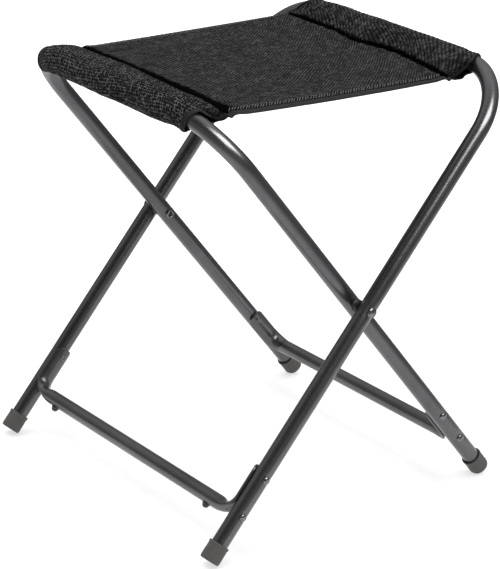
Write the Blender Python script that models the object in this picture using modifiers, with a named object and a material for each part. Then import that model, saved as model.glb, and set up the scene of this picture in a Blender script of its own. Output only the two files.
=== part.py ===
"""Folding camp stool: two crossed U-shaped steel tube frames, each tied by a
brace riveted between its legs, a fabric seat with a padded sleeve round each
top bar, and rubber foot caps.

Metres, +Z up.  The origin is on the floor under the middle of the stool.  The
hinge line of the crossed frames runs along Y.  The outer frame has its top bar
at +X and its feet at -X; the inner frame is the other way round.
"near" is the -Y side and "far" the +Y side.
"""
import bpy
import bmesh
from math import sin, cos, radians, pi, sqrt
from mathutils import Vector, Matrix

# ------------------------------------------------------------- dimensions
GAP = 0.0003                    # clearance between touching pieces

TUBE_R = 0.009                  # frame tube, 18 mm outside
TUBE_WALL = 0.0012
LEG_TILT = radians(39.45)       # each leg from the vertical, seat open
PIVOT_Z = 0.2370                # hinge line above the floor
BAR_RISE = 0.2850               # hinge line to top bar, along the leg
TUBE_FOOT = 0.2967              # hinge line to the tube's lower end
OUTER_Y = 0.1960                # leg centreline, outer frame
INNER_Y = 0.1705                # leg centreline, inner frame
OUTER_BEND_R = 0.0692           # centreline radius of the top corners
INNER_BEND_R = 0.0745
BEND_STEPS = 9
TUBE_SIDES = 16

CAP_R = 0.0110                  # rubber foot cap
CAP_TOP = 0.2795
CAP_END = 0.3000
CAP_BORE_END = 0.2970

BRACE_R = 0.0080                # brace tube, 16 mm outside
BRACE_WALL = 0.0012
TAB_TOP = 0.1910                # flattened end of the brace, from the hinge line
TAB_BEND = 0.2280               # where the tab starts to turn inward
BRACE_BEND_R = 0.0165
TAB_THICK = 0.0031
TAB_WRAP = radians(62)          # half of the arc that the tab wraps round the leg
BRACE_SIDES = 16

# brace rivets, from the hinge line: upper and lower, on each frame
RIVETS = {"outer": (0.2010, 0.2450), "inner": (0.1990, 0.2400)}
RIVET_R = 0.0020
RIVET_HEAD_R = 0.0042
RIVET_HEAD_H = 0.0021

PIVOT_R = 0.0030                # pivot rivet shank
PIVOT_HEAD_R = 0.0058
PIVOT_HEAD_H = 0.0026
SPACER_R = 0.0065

BUTTON_Y = 0.1470                # bump stops under the outer brace
BUTTON_R = 0.0042

SLEEVE_INNER_ARC = 0.1363       # half length of the sleeve along the bent bar
SLEEVE_OUTER_ARC = 0.1335
SLEEVE_INNER_SHIFT = 0.0027     # the inner frame's sleeve sits a little to +Y
SLEEVE_REACH = 0.0409           # bar axis to the sleeve's inner seam
PANEL_DROP = 0.0057             # panel below the bar axis
PANEL_THICK = 0.0022
HEM_W = 0.0070
HEM_THICK = 0.0028

# ------------------------------------------------------------- clean start
for ob in list(bpy.data.objects):
    bpy.data.objects.remove(ob, do_unlink=True)
for me in list(bpy.data.meshes):
    bpy.data.meshes.remove(me)

scene = bpy.context.scene
parts = bpy.data.collections.new("camp_stool")
cutters = bpy.data.collections.new("cutters")
scene.collection.children.link(parts)
scene.collection.children.link(cutters)

ST, CT = sin(LEG_TILT), cos(LEG_TILT)
PIVOT = Vector((0.0, 0.0, PIVOT_Z))
BAR_X = BAR_RISE * ST
BAR_Z = PIVOT_Z + BAR_RISE * CT


# ------------------------------------------------------------- materials
def material(name, colour, rough, metal=0.0):
    m = bpy.data.materials.new(name)
    m.use_nodes = True
    b = m.node_tree.nodes["Principled BSDF"]
    b.inputs["Base Color"].default_value = (*colour, 1.0)
    b.inputs["Roughness"].default_value = rough
    b.inputs["Metallic"].default_value = metal
    m.diffuse_color = (*colour, 1.0)
    return m


FRAME_PAINT = material("frame_paint", (0.085, 0.085, 0.088), 0.32, 0.55)
BRACE_PAINT = material("brace_paint", (0.075, 0.075, 0.078), 0.34, 0.55)
RUBBER = material("foot_rubber", (0.045, 0.044, 0.042), 0.75)
STEEL = material("rivet_steel", (0.10, 0.10, 0.105), 0.30, 0.8)
SPACER = material("spacer_plastic", (0.02, 0.02, 0.02), 0.55)
BUTTON = material("button_plastic", (0.015, 0.015, 0.016), 0.45)
SEAT = material("seat_mesh", (0.016, 0.016, 0.017), 0.85)
SLEEVE = material("sleeve_knit", (0.018, 0.018, 0.019), 0.88)
HEM = material("hem_tape", (0.022, 0.022, 0.023), 0.70)
FOAM = material("pad_foam", (0.30, 0.30, 0.31), 0.95)


# ------------------------------------------------------------- helpers
def add_object(name, mesh, mat=None, coll=None):
    ob = bpy.data.objects.new(name, mesh)
    (coll or parts).objects.link(ob)
    if mat is not None:
        mesh.materials.clear()
        mesh.materials.append(mat)
    return ob


def smooth(mesh, angle=35.0):
    mesh.shade_smooth()
    mesh.set_sharp_from_angle(angle=radians(angle))


def as_cutter(ob):
    ob.hide_render = True
    ob.display_type = "WIRE"
    return ob


def cut(ob, cutter):
    m = ob.modifiers.new("cut_" + cutter.name, "BOOLEAN")
    m.operation = "DIFFERENCE"
    m.solver = "EXACT"
    m.object = cutter


def empty_at(name, loc, rot=(0.0, 0.0, 0.0)):
    e = bpy.data.objects.new(name, None)
    e.empty_display_size = 0.03
    e.location = loc
    e.rotation_euler = rot
    parts.objects.link(e)
    return e


def adopt(parent, children):
    bpy.context.view_layer.update()
    for c in children:
        c.parent = parent
        c.matrix_parent_inverse = parent.matrix_world.inverted()


def smoothstep(t):
    t = min(1.0, max(0.0, t))
    return t * t * (3.0 - 2.0 * t)


def leg_point(side, s, y, off=0.0):
    """A point on a frame.  side +1 is the outer frame, -1 the inner.  s is the
    distance from the hinge line along the leg, positive upward; off is square
    to the frame's plane, positive towards the outside and up."""
    return PIVOT + Vector((side * (ST * s + CT * off), y, CT * s - ST * off))


def down_dir(side):
    return Vector((-side * ST, 0.0, -CT))


def bar_path(side, arc):
    """Centre and tangent of the bent top bar at a distance arc from the
    middle, measured along the tube; the tangent points towards +Y."""
    half_y, r = (OUTER_Y, OUTER_BEND_R) if side > 0 else (INNER_Y, INNER_BEND_R)
    straight = half_y - r
    sgn = 1.0 if arc >= 0 else -1.0
    a = abs(arc)
    if a <= straight:
        return leg_point(side, BAR_RISE, arc), Vector((0, 1, 0))
    b = (a - straight) / r
    p = leg_point(side, BAR_RISE - r * (1 - cos(b)), sgn * (straight + r * sin(b)))
    t = Vector((0, 1, 0)) * cos(b) + down_dir(side) * (sgn * sin(b))
    return p, t.normalized()


def loft(name, rings, mat, inner=None, coll=None, angle=50.0):
    """A closed skin through a list of rings.  With inner rings the piece is a
    hollow tube, open at both ends; without them its ends are capped."""
    bm = bmesh.new()
    out = [[bm.verts.new(p) for p in ring] for ring in rings]
    n = len(out[0])

    def skin(rows):
        for a, b in zip(rows, rows[1:]):
            for i in range(n):
                j = (i + 1) % n
                bm.faces.new((a[i], a[j], b[j], b[i]))

    skin(out)
    if inner:
        inn = [[bm.verts.new(p) for p in ring] for ring in inner]
        skin(inn)
        for a, b in ((out[0], inn[0]), (out[-1], inn[-1])):
            for i in range(n):
                j = (i + 1) % n
                bm.faces.new((a[i], a[j], b[j], b[i]))
    else:
        for ring in (out[0], out[-1]):
            c = sum((v.co for v in ring), Vector()) / n
            v = bm.verts.new(c)
            for i in range(n):
                bm.faces.new((ring[i], ring[(i + 1) % n], v))
    bmesh.ops.recalc_face_normals(bm, faces=bm.faces[:])
    me = bpy.data.meshes.new(name)
    bm.to_mesh(me)
    bm.free()
    smooth(me, angle)
    return add_object(name, me, mat, coll)


def turned(name, profile, matrix, mat, steps=20):
    """A turned piece: profile points (radius, height) from the top of the
    axis, down the outer side, to the bottom of the axis."""
    me = bpy.data.meshes.new(name)
    pts = [(r, 0.0, h) for r, h in profile]
    me.from_pydata(pts, [(i, i + 1) for i in range(len(pts) - 1)], [])
    ob = add_object(name, me, mat)
    ob.matrix_world = matrix
    m = ob.modifiers.new("turn", "SCREW")
    m.axis = "Z"
    m.angle = 2 * pi
    m.screw_offset = 0.0
    m.steps = steps
    m.render_steps = steps
    m.use_merge_vertices = True
    m.merge_threshold = 0.00002
    m.use_smooth_shade = True
    return ob


def rod(name, p0, p1, r, coll, sides=16):
    """A plain cylinder between two points."""
    me = bpy.data.meshes.new(name)
    bm = bmesh.new()
    bmesh.ops.create_cone(bm, cap_ends=True, segments=sides, radius1=r,
                          radius2=r, depth=(p1 - p0).length)
    bm.to_mesh(me)
    bm.free()
    ob = add_object(name, me, None, coll)
    q = (p1 - p0).to_track_quat("Z", "Y")
    ob.matrix_world = Matrix.Translation((p0 + p1) / 2) @ q.to_matrix().to_4x4()
    return ob


def box(name, lo, hi, mat=None, coll=None):
    me = bpy.data.meshes.new(name)
    bm = bmesh.new()
    bmesh.ops.create_cube(bm, size=1.0)
    for v in bm.verts:
        v.co = Vector(((lo[i] + hi[i]) / 2 + v.co[i] * (hi[i] - lo[i])
                       for i in range(3)))
    bm.to_mesh(me)
    bm.free()
    return add_object(name, me, mat, coll)


def z_frame(origin, z_dir, x_hint=Vector((1, 0, 0))):
    """A matrix with its Z along z_dir."""
    z = z_dir.normalized()
    x = (x_hint - z * x_hint.dot(z)).normalized()
    y = z.cross(x)
    m = Matrix((x, y, z)).transposed().to_4x4()
    m.translation = origin
    return m


# ------------------------------------------------------------- frame tubes
def frame_tube(name, side, half_y, r, mat):
    """One U-shaped tube from foot to foot, bent as a curve, made a mesh and
    given its wall."""
    bend = [(BAR_RISE - r + r * sin(k * pi / 2 / BEND_STEPS),
             half_y - r + r * cos(k * pi / 2 / BEND_STEPS))
            for k in range(BEND_STEPS + 1)]
    half = [(-TUBE_FOOT, half_y)] + bend
    pts = [leg_point(side, s, -y) for s, y in half]
    pts += [leg_point(side, s, y) for s, y in reversed(half)]
    cu = bpy.data.curves.new(name + "_path", "CURVE")
    cu.dimensions = "3D"
    sp = cu.splines.new("POLY")
    sp.points.add(len(pts) - 1)
    for p, q in zip(sp.points, pts):
        p.co = (*q, 1.0)
    cu.bevel_depth = TUBE_R
    cu.bevel_resolution = (TUBE_SIDES - 4) // 2
    cu.use_fill_caps = False
    tmp = bpy.data.objects.new(name + "_path", cu)
    parts.objects.link(tmp)
    bpy.context.view_layer.update()
    deps = bpy.context.evaluated_depsgraph_get()
    me = bpy.data.meshes.new_from_object(tmp.evaluated_get(deps))
    world = tmp.matrix_world.copy()
    bpy.data.objects.remove(tmp, do_unlink=True)
    bm = bmesh.new()
    bm.from_mesh(me)
    bmesh.ops.remove_doubles(bm, verts=bm.verts[:], dist=0.00001)
    bmesh.ops.recalc_face_normals(bm, faces=bm.faces[:])
    # the open skin must face away from the tube's own centreline
    f = bm.faces[0]
    mid = f.calc_center_median()
    near = min((pts[i].lerp(pts[i + 1], k / 20) for i in range(len(pts) - 1)
                for k in range(21)), key=lambda q: (q - mid).length)
    if f.normal.dot(mid - near) < 0:
        bmesh.ops.reverse_faces(bm, faces=bm.faces[:])
    bm.to_mesh(me)
    bm.free()
    smooth(me, 40)
    ob = add_object(name, me, mat)
    ob.matrix_world = world
    s = ob.modifiers.new("wall", "SOLIDIFY")
    s.thickness = TUBE_WALL
    s.offset = -1.0
    return ob


outer_tube = frame_tube("outer_frame_tube", +1, OUTER_Y, OUTER_BEND_R, FRAME_PAINT)
inner_tube = frame_tube("inner_frame_tube", -1, INNER_Y, INNER_BEND_R, FRAME_PAINT)


# ------------------------------------------------------------- braces
def brace(name, side, half_y, mat):
    """The brace: a round tube whose ends turn along the legs and are pressed
    flat into tabs that wrap the inner half of each leg."""
    down = down_dir(side)
    nrm = Vector((side * CT, 0.0, -ST))
    r_in = TUBE_R + GAP
    r_out = r_in + TAB_THICK
    mid = (r_in + r_out) / 2
    y_tab = half_y - mid
    n = BRACE_SIDES

    # stations along half the brace: (s below the hinge line, y from the
    # middle outward, turn angle, distance from the tab's end)
    stations = []
    for u in (0.0, 0.0018, 0.0045, 0.0085, 0.020, TAB_BEND - TAB_TOP):
        stations.append((TAB_TOP + u, y_tab, 0.0, u))
    turns = 7
    for k in range(1, turns + 1):
        b = k * pi / 2 / turns
        stations.append((TAB_BEND + BRACE_BEND_R * sin(b),
                         y_tab - BRACE_BEND_R * (1 - cos(b)), b,
                         TAB_BEND - TAB_TOP + BRACE_BEND_R * b))
    s_axis = TAB_BEND + BRACE_BEND_R
    y_end = y_tab - BRACE_BEND_R
    for d in (0.004, 0.009, 0.060):
        stations.append((s_axis, y_end - d, pi / 2,
                         TAB_BEND - TAB_TOP + BRACE_BEND_R * pi / 2 + d))

    def ring(st, sgn, inside):
        s, y, b, u = st
        centre = leg_point(side, -s, sgn * y)
        # e points to the leg on the tab and to the feet on the straight run
        e = Vector((0, sgn, 0)) * cos(b) + down * sin(b)
        grow = smoothstep((u - (TAB_BEND - TAB_TOP) - 0.003) / 0.030)
        wrap = TAB_WRAP * (1.0 if u >= 0.0085 else
                           0.32 + 0.68 * sqrt(1 - (1 - u / 0.0085) ** 2))
        if inside:
            a, c = r_in + BRACE_WALL, r_out - BRACE_WALL
            wrap -= radians(6)
            rr = BRACE_R - BRACE_WALL
        else:
            a, c, rr = r_in, r_out, BRACE_R
        pts = []
        for i in range(n):
            t = 2 * pi * i / n
            ce, cn = rr * cos(t), rr * sin(t)
            q = t if t <= pi else t - 2 * pi
            if abs(abs(q) - pi / 2) < 1e-6:
                rad, w = (a + c) / 2, wrap * (1 if q > 0 else -1)
            elif abs(q) < pi / 2:
                rad, w = a, wrap * q / (pi / 2) * 0.985
            else:
                back = pi - abs(q)
                rad, w = c, wrap * back / (pi / 2) * 0.985 * (1 if q > 0 else -1)
            te, tn = mid - rad * cos(w), rad * sin(w)
            ee = te + (ce - te) * grow
            nn = tn + (cn - tn) * grow
            pts.append(centre + e * ee + nrm * nn)
        return pts

    def whole(inside):
        first = [ring(st, -1, inside) for st in stations]
        last = [ring(st, +1, inside) for st in reversed(stations)]
        return first + last

    ob = loft(name, whole(False), mat, inner=whole(True), angle=40)
    return ob, s_axis


outer_brace, BRACE_S = brace("outer_brace", +1, OUTER_Y, BRACE_PAINT)
inner_brace, _ = brace("inner_brace", -1, INNER_Y, BRACE_PAINT)


# ------------------------------------------------------------- rivets
def brace_rivet(name, side, half_y, sgn, s, through):
    """A domed rivet from the leg's outer face, through the leg and into the
    brace's tab.  through is how far its tail reaches, as |y|."""
    top = half_y + TUBE_R + GAP
    origin = leg_point(side, -s, sgn * top)
    length = top - through
    prof = [(0.0, RIVET_HEAD_H)]
    for k in range(1, 4):
        a = k * pi / 2 / 4
        prof.append((RIVET_HEAD_R * sin(a), RIVET_HEAD_H * cos(a)))
    prof += [(RIVET_HEAD_R, RIVET_HEAD_H * 0.14), (RIVET_HEAD_R * 0.96, 0.0),
             (RIVET_R, 0.0)]
    rolled = abs(half_y - TUBE_R - GAP - TAB_THICK - GAP - 0.0013 - through) < 1e-6
    if rolled:
        prof += [(RIVET_R, -length + 0.0013), (0.0033, -length + 0.0011),
                 (0.0031, -length), (0.0014, -length), (0.0012, -length + 0.002),
                 (0.0, -length + 0.002)]
    else:
        prof += [(RIVET_R, -length), (0.0, -length)]
    return turned(name, prof, z_frame(origin, Vector((0, sgn, 0))), STEEL, steps=14)


rivets = {"outer": [], "inner": []}
for key, side, half_y, tube, br in (
        ("outer", +1, OUTER_Y, outer_tube, outer_brace),
        ("inner", -1, INNER_Y, inner_tube, inner_brace)):
    tab_face = half_y - TUBE_R - GAP - TAB_THICK - GAP - 0.0013
    for where, sgn in (("near", -1), ("far", +1)):
        for level, s, end in (("upper", RIVETS[key][0], tab_face),
                              ("lower", RIVETS[key][1], half_y - 0.0165)):
            nm = "%s_brace_rivet_%s_%s" % (key, where, level)
            rivets[key].append(brace_rivet(nm, side, half_y, sgn, s, end))
            stop = end - GAP
            c = rod("cut_" + nm, leg_point(side, -s, sgn * stop),
                    leg_point(side, -s, sgn * (half_y + 0.015)),
                    RIVET_R + GAP, cutters, 14)
            as_cutter(c)
            cut(tube, c)
            cut(br, c)

# ------------------------------------------------------------- pivots
pivot_parts = []
for where, sgn in (("near", -1), ("far", +1)):
    c = rod("cut_pivot_" + where, PIVOT + Vector((0, sgn * 0.150, 0)),
            PIVOT + Vector((0, sgn * 0.215, 0)), PIVOT_R + GAP, cutters, 20)
    as_cutter(c)
    cut(outer_tube, c)
    cut(inner_tube, c)
    top = OUTER_Y + TUBE_R + GAP
    tail = INNER_Y - TUBE_R - GAP
    ln = top - tail
    prof = [(0.0, PIVOT_HEAD_H)]
    for k in range(1, 5):
        a = k * pi / 2 / 5
        prof.append((PIVOT_HEAD_R * sin(a), PIVOT_HEAD_H * cos(a)))
    prof += [(PIVOT_HEAD_R, PIVOT_HEAD_H * 0.15), (PIVOT_HEAD_R * 0.97, 0.0),
             (PIVOT_R, 0.0), (PIVOT_R, -ln), (0.0044, -ln - 0.0002),
             (0.0042, -ln - 0.0016), (0.0021, -ln - 0.0016),
             (0.0018, -ln + 0.0010), (0.0, -ln + 0.0010)]
    pivot_parts.append(turned("pivot_rivet_" + where, prof,
                              z_frame(PIVOT + Vector((0, sgn * top, 0)),
                                      Vector((0, sgn, 0))), STEEL, steps=20))
    # a plain ring keeps the two legs apart
    a = INNER_Y + TUBE_R + GAP
    b = OUTER_Y - TUBE_R - GAP
    n = 20
    fr = z_frame(PIVOT, Vector((0, sgn, 0)))

    def circle(rad, h, fr=fr, n=n):
        return [fr @ Vector((rad * cos(2 * pi * i / n), rad * sin(2 * pi * i / n), h))
                for i in range(n)]

    pivot_parts.append(loft("pivot_spacer_" + where,
                            [circle(SPACER_R, a), circle(SPACER_R, b)], SPACER,
                            inner=[circle(PIVOT_R + GAP, a), circle(PIVOT_R + GAP, b)]))

# ------------------------------------------------------------- bump stops
buttons = []
for where, sgn in (("near", -1), ("far", +1)):
    base = leg_point(+1, -BRACE_S, sgn * BUTTON_Y)
    d = down_dir(+1)
    rise = BRACE_R + GAP
    prof = [(0.0, 0.0040), (0.0019, 0.0036), (0.0034, 0.0025),
            (BUTTON_R, 0.0008), (BUTTON_R, 0.0), (0.0018, 0.0),
            (0.0018, -0.0032), (0.0, -0.0032)]
    buttons.append(turned("brace_button_" + where, prof,
                          z_frame(base + d * rise, d, Vector((0, 1, 0))), BUTTON, steps=16))
    c = rod("cut_button_" + where, base + d * 0.0035, base + d * 0.0120,
            0.0018 + GAP, cutters, 14)
    as_cutter(c)
    cut(outer_brace, c)

# ------------------------------------------------------------- foot caps
floor_cut = box("cut_floor", (-0.30, -0.30, -0.05), (0.30, 0.30, 0.0), None, cutters)
as_cutter(floor_cut)
caps = {"outer": [], "inner": []}
for key, side, half_y in (("outer", +1, OUTER_Y), ("inner", -1, INNER_Y)):
    for where, sgn in (("near", -1), ("far", +1)):
        # heights run up the leg from the cap's end
        h = lambda s: CAP_END - s
        prof = [(TUBE_R + GAP, h(CAP_TOP)), (CAP_R - 0.0005, h(CAP_TOP)),
                (CAP_R, h(CAP_TOP + 0.0005)), (CAP_R, h(CAP_END - 0.0006)),
                (CAP_R - 0.0006, 0.0), (0.0, 0.0)]
        prof = [(0.0, h(CAP_BORE_END)), (TUBE_R + GAP, h(CAP_BORE_END))] + prof
        ob = turned("foot_cap_%s_%s" % (key, where), prof,
                    z_frame(leg_point(side, -CAP_END, sgn * half_y),
                            -down_dir(side)), RUBBER, steps=24)
        cut(ob, floor_cut)
        caps[key].append(ob)

# ------------------------------------------------------------- seat sleeves
# Sections across the bar: a runs inward over the seat, b runs up.  The cloth
# goes over the bar and back under it, round a foam pad, to the inner seam.
OUTLINE = [(40.9, -4.7), (36.7, -0.6), (29.6, 4.8), (20.2, 9.6), (10.0, 12.5),
           (0.0, 13.0), (-9.0, 10.0), (-13.0, 3.0), (-12.7, -5.5), (-7.6, -12.2),
           (1.5, -15.0), (12.6, -14.2), (22.9, -11.8), (32.4, -9.0), (40.9, -7.0)]
HOLLOW = [(35.7, -4.4), (33.8, -2.6), (28.2, 2.6), (19.4, 7.4), (9.4, 10.5),
          (0.0, 11.0), (-7.6, 8.5), (-11.1, 2.6), (-10.8, -4.8), (-6.4, -10.4),
          (1.5, -13.0), (12.2, -12.2), (22.4, -9.9), (31.6, -7.2), (35.7, -6.0)]
# the same two sections at the mouths, where there is no padding
OUTLINE_END = [(40.9, -4.9), (36.7, -2.2), (29.6, 1.6), (20.2, 6.2), (10.0, 10.8),
               (0.0, 12.6), (-8.6, 9.6), (-12.6, 3.0), (-12.6, -5.0), (-8.2, -11.8),
               (1.0, -14.2), (12.6, -13.0), (22.9, -10.8), (32.4, -8.6), (40.9, -7.0)]
HOLLOW_END = [(35.7, -4.6), (33.8, -3.4), (28.2, 0.0), (19.4, 4.4), (9.2, 8.9),
              (0.0, 10.7), (-7.4, 8.3), (-10.9, 2.6), (-10.9, -4.6), (-7.0, -10.2),
              (1.0, -12.4), (12.2, -11.2), (22.4, -9.0), (31.6, -7.0), (35.7, -6.1)]
PAD = [(32.8, -4.1), (27.4, 1.2), (19.0, 6.0), (10.2, 9.0), (7.9, 7.6),
       (10.3, 3.5), (10.9, -1.5), (9.8, -6.3), (12.2, -10.6), (21.8, -8.5),
       (30.3, -6.3)]
SEAM_X = BAR_X - SLEEVE_REACH


def cloth_edge(x, sgn):
    """Y of the seat cloth's near (-1) or far (+1) edge; it is a little
    narrower at the inner frame's bar."""
    if sgn < 0:
        return -(0.1482 + 0.0043 * x / SEAM_X)
    return 0.1500 + 0.0030 * x / SEAM_X


def sleeve_point(side, v, a, b):
    """v runs from -1 at the near mouth to +1 at the far one.  The section
    stands square on the bent bar and leans over to the straight seam."""
    arc = v * SLEEVE_OUTER_ARC if side > 0 else v * SLEEVE_INNER_ARC + SLEEVE_INNER_SHIFT
    c, t = bar_path(side, arc)
    e1 = Vector((-side, 0, 0))
    e1 = (e1 - t * e1.dot(t)).normalized()
    e2 = t.cross(e1)
    if e2.z < 0:
        e2 = -e2
    p = c + e1 * a + e2 * b
    tip = c + e1 * SLEEVE_REACH - e2 * PANEL_DROP
    edge = abs(cloth_edge(side * SEAM_X, -1 if v < 0 else 1))
    want = Vector((side * SEAM_X, v * edge, BAR_Z - PANEL_DROP))
    return p + (want - tip) * smoothstep((a - 0.006) / (SLEEVE_REACH - 0.006))


def sleeve_rings(side, middle, end, vs):
    rings = []
    for v in vs:
        k = smoothstep((abs(v) - 0.84) / 0.16)
        rings.append([sleeve_point(side, v, (p[0] + (q[0] - p[0]) * k) / 1000,
                                   (p[1] + (q[1] - p[1]) * k) / 1000)
                      for p, q in zip(middle, end)])
    return rings


V_ALL = [-1.0, -0.93, -0.84, -0.72, -0.58, -0.35, 0.0, 0.35, 0.58, 0.72, 0.84, 0.93, 1.0]
V_PAD = [-0.86, -0.78, -0.66, -0.4, 0.0, 0.4, 0.66, 0.78, 0.86]
sleeves, pads = {}, {}
for key, side in (("right", +1), ("left", -1)):
    sleeves[key] = loft("seat_sleeve_" + key,
                        sleeve_rings(side, OUTLINE, OUTLINE_END, V_ALL), SLEEVE,
                        inner=sleeve_rings(side, HOLLOW, HOLLOW_END, V_ALL), angle=60)
    pads[key] = loft("foam_pad_" + key, sleeve_rings(side, PAD, PAD, V_PAD), FOAM, angle=60)

# ------------------------------------------------------------- seat panel
def slab(name, x0, x1, low, high, z0, z1, mat):
    """A flat plate from x0 to x1; low and high give its edges' Y at an X."""
    bm = bmesh.new()
    vs = [bm.verts.new((x, y, z)) for z in (z0, z1)
          for x, y in ((x0, low(x0)), (x1, low(x1)), (x1, high(x1)), (x0, high(x0)))]
    for q in ((3, 2, 1, 0), (4, 5, 6, 7), (0, 1, 5, 4), (1, 2, 6, 5), (2, 3, 7, 6), (3, 0, 4, 7)):
        bm.faces.new([vs[i] for i in q])
    bmesh.ops.recalc_face_normals(bm, faces=bm.faces[:])
    me = bpy.data.meshes.new(name)
    bm.to_mesh(me)
    bm.free()
    return add_object(name, me, mat)


panels, hems = {}, {"right": [], "left": []}
z0 = BAR_Z - PANEL_DROP
edge_x = SEAM_X - GAP
for key, side in (("right", +1), ("left", -1)):
    xs = sorted((side * GAP / 2, side * edge_x))
    inset = HEM_W + GAP
    panels[key] = slab("seat_panel_" + key, xs[0], xs[1],
                       lambda x: cloth_edge(x, -1) + inset,
                       lambda x: cloth_edge(x, +1) - inset,
                       z0 - PANEL_THICK / 2, z0 + PANEL_THICK / 2, SEAT)
    for where, sgn in (("near", -1), ("far", +1)):
        outer = lambda x: cloth_edge(x, sgn)
        inner = lambda x: cloth_edge(x, sgn) - sgn * HEM_W
        low, high = (outer, inner) if sgn < 0 else (inner, outer)
        hems[key].append(slab("seat_hem_%s_%s" % (where, key), xs[0], xs[1], low, high,
                              z0 - HEM_THICK / 2, z0 + HEM_THICK / 2, HEM))

# ------------------------------------------------------------- joints
# The outer frame stands still; the inner frame turns about the pivot line.
# The left half of the seat turns about the inner frame's bar, and the right
# half about the cloth's fold line, midway between the bars.
fold_axis = empty_at("fold_axis", PIVOT)
left_bar_axis = empty_at("left_bar_axis", Vector((-BAR_X, 0, BAR_Z)))
fold_line_axis = empty_at("fold_line_axis", Vector((0, 0, BAR_Z)))
adopt(fold_axis, [inner_tube, inner_brace] + rivets["inner"] + caps["inner"]
      + [left_bar_axis])
adopt(left_bar_axis, [sleeves["left"], pads["left"], panels["left"]] + hems["left"]
      + [fold_line_axis])
adopt(fold_line_axis, [sleeves["right"], pads["right"], panels["right"]] + hems["right"])
bpy.context.view_layer.update()
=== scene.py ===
"""Looks for the folding camp stool: powder-coated tube frames, riveted braces,
rubber feet, and a black mesh-cloth seat with a padded sleeve round each bar.
Metres, +Z up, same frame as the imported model."""
import bpy
import numpy as np
from math import sin, cos, pi, radians, sqrt, atan2
from mathutils import Vector, Matrix, noise
from mathutils.bvhtree import BVHTree


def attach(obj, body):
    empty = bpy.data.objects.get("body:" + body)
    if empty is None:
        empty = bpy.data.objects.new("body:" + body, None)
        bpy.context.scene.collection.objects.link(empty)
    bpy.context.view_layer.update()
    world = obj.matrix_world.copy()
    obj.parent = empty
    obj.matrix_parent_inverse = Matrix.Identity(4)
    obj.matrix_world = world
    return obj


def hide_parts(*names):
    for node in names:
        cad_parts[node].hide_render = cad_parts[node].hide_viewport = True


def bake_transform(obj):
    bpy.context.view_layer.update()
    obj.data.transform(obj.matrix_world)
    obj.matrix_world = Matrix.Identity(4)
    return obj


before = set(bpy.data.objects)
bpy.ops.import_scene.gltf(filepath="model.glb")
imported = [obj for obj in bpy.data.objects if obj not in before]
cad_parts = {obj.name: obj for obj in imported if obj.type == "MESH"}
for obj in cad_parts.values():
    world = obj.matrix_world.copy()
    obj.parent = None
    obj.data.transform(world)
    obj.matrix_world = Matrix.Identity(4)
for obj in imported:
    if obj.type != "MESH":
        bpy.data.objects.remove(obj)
scene = bpy.context.scene
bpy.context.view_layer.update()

# ------------------------------------------------------------- dimensions
GAP = 0.0003
TUBE_R, TUBE_WALL = 0.009, 0.0012
LEG_TILT = radians(39.45)
PIVOT_Z, BAR_RISE, TUBE_FOOT = 0.2370, 0.2850, 0.2967
OUTER_Y, INNER_Y = 0.1960, 0.1705
OUTER_BEND_R, INNER_BEND_R = 0.0692, 0.0745
CAP_R, CAP_TOP, CAP_END = 0.0110, 0.2795, 0.3000
BRACE_R, TAB_TOP, TAB_BEND, BRACE_BEND_R = 0.0080, 0.1910, 0.2280, 0.0165
TAB_THICK, TAB_WRAP = 0.0031, radians(62)
RIVETS = {"outer": (0.2010, 0.2450), "inner": (0.1990, 0.2400)}
RIVET_HEAD_R, RIVET_HEAD_H = 0.0042, 0.0021
PIVOT_R, PIVOT_HEAD_R, PIVOT_HEAD_H, SPACER_R = 0.0030, 0.0058, 0.0026, 0.0065
BUTTON_Y, BUTTON_R = 0.1470, 0.0042
SLEEVE_INNER_ARC, SLEEVE_OUTER_ARC, SLEEVE_INNER_SHIFT = 0.1363, 0.1335, 0.0027
SLEEVE_REACH, PANEL_DROP = 0.0409, 0.0057
HEM_W = 0.0092
ST, CT = sin(LEG_TILT), cos(LEG_TILT)
BAR_X = BAR_RISE * ST
BAR_Z = PIVOT_Z + BAR_RISE * CT
BRACE_S = TAB_BEND + BRACE_BEND_R
Z0 = BAR_Z - PANEL_DROP
SEAM_X = BAR_X - SLEEVE_REACH


# ------------------------------------------------------------- camera
def make_camera():
    cd = bpy.data.cameras.new("camera")
    cam = bpy.data.objects.new("camera", cd)
    scene.collection.objects.link(cam)
    right = Vector((0.81050694, -0.58523852, 0.02396629))
    up = Vector((0.18628045, 0.2963437, 0.93673903))
    back = Vector((-0.55531802, -0.75476903, 0.34920712))
    m = Matrix((right, up, back)).transposed().to_4x4()
    m.translation = (-1.47424, -1.99862, 1.12850)
    cam.matrix_world = m
    cd.sensor_width = 36.0
    cd.sensor_fit = "AUTO"
    cd.lens = 154.8
    cd.clip_start, cd.clip_end = 0.05, 60.0
    cd.dof.use_dof = False
    scene.camera = cam
    return cam


make_camera()


# ------------------------------------------------------------- mesh helpers
def flat(ob_name, verts, faces, mat, body=None, attrs=None, smooth=True):
    me = bpy.data.meshes.new(ob_name)
    me.from_pydata(np.asarray(verts, float).tolist(), [], faces)
    me.validate()
    ob = bpy.data.objects.new(ob_name, me)
    scene.collection.objects.link(ob)
    if mat is not None:
        me.materials.append(mat)
    if smooth:
        me.shade_smooth()
    for key, val in (attrs or {}).items():
        at = me.attributes.new(key, "FLOAT_VECTOR", "POINT")
        at.data.foreach_set("vector", np.asarray(val, np.float32).ravel())
    return ob


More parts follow.
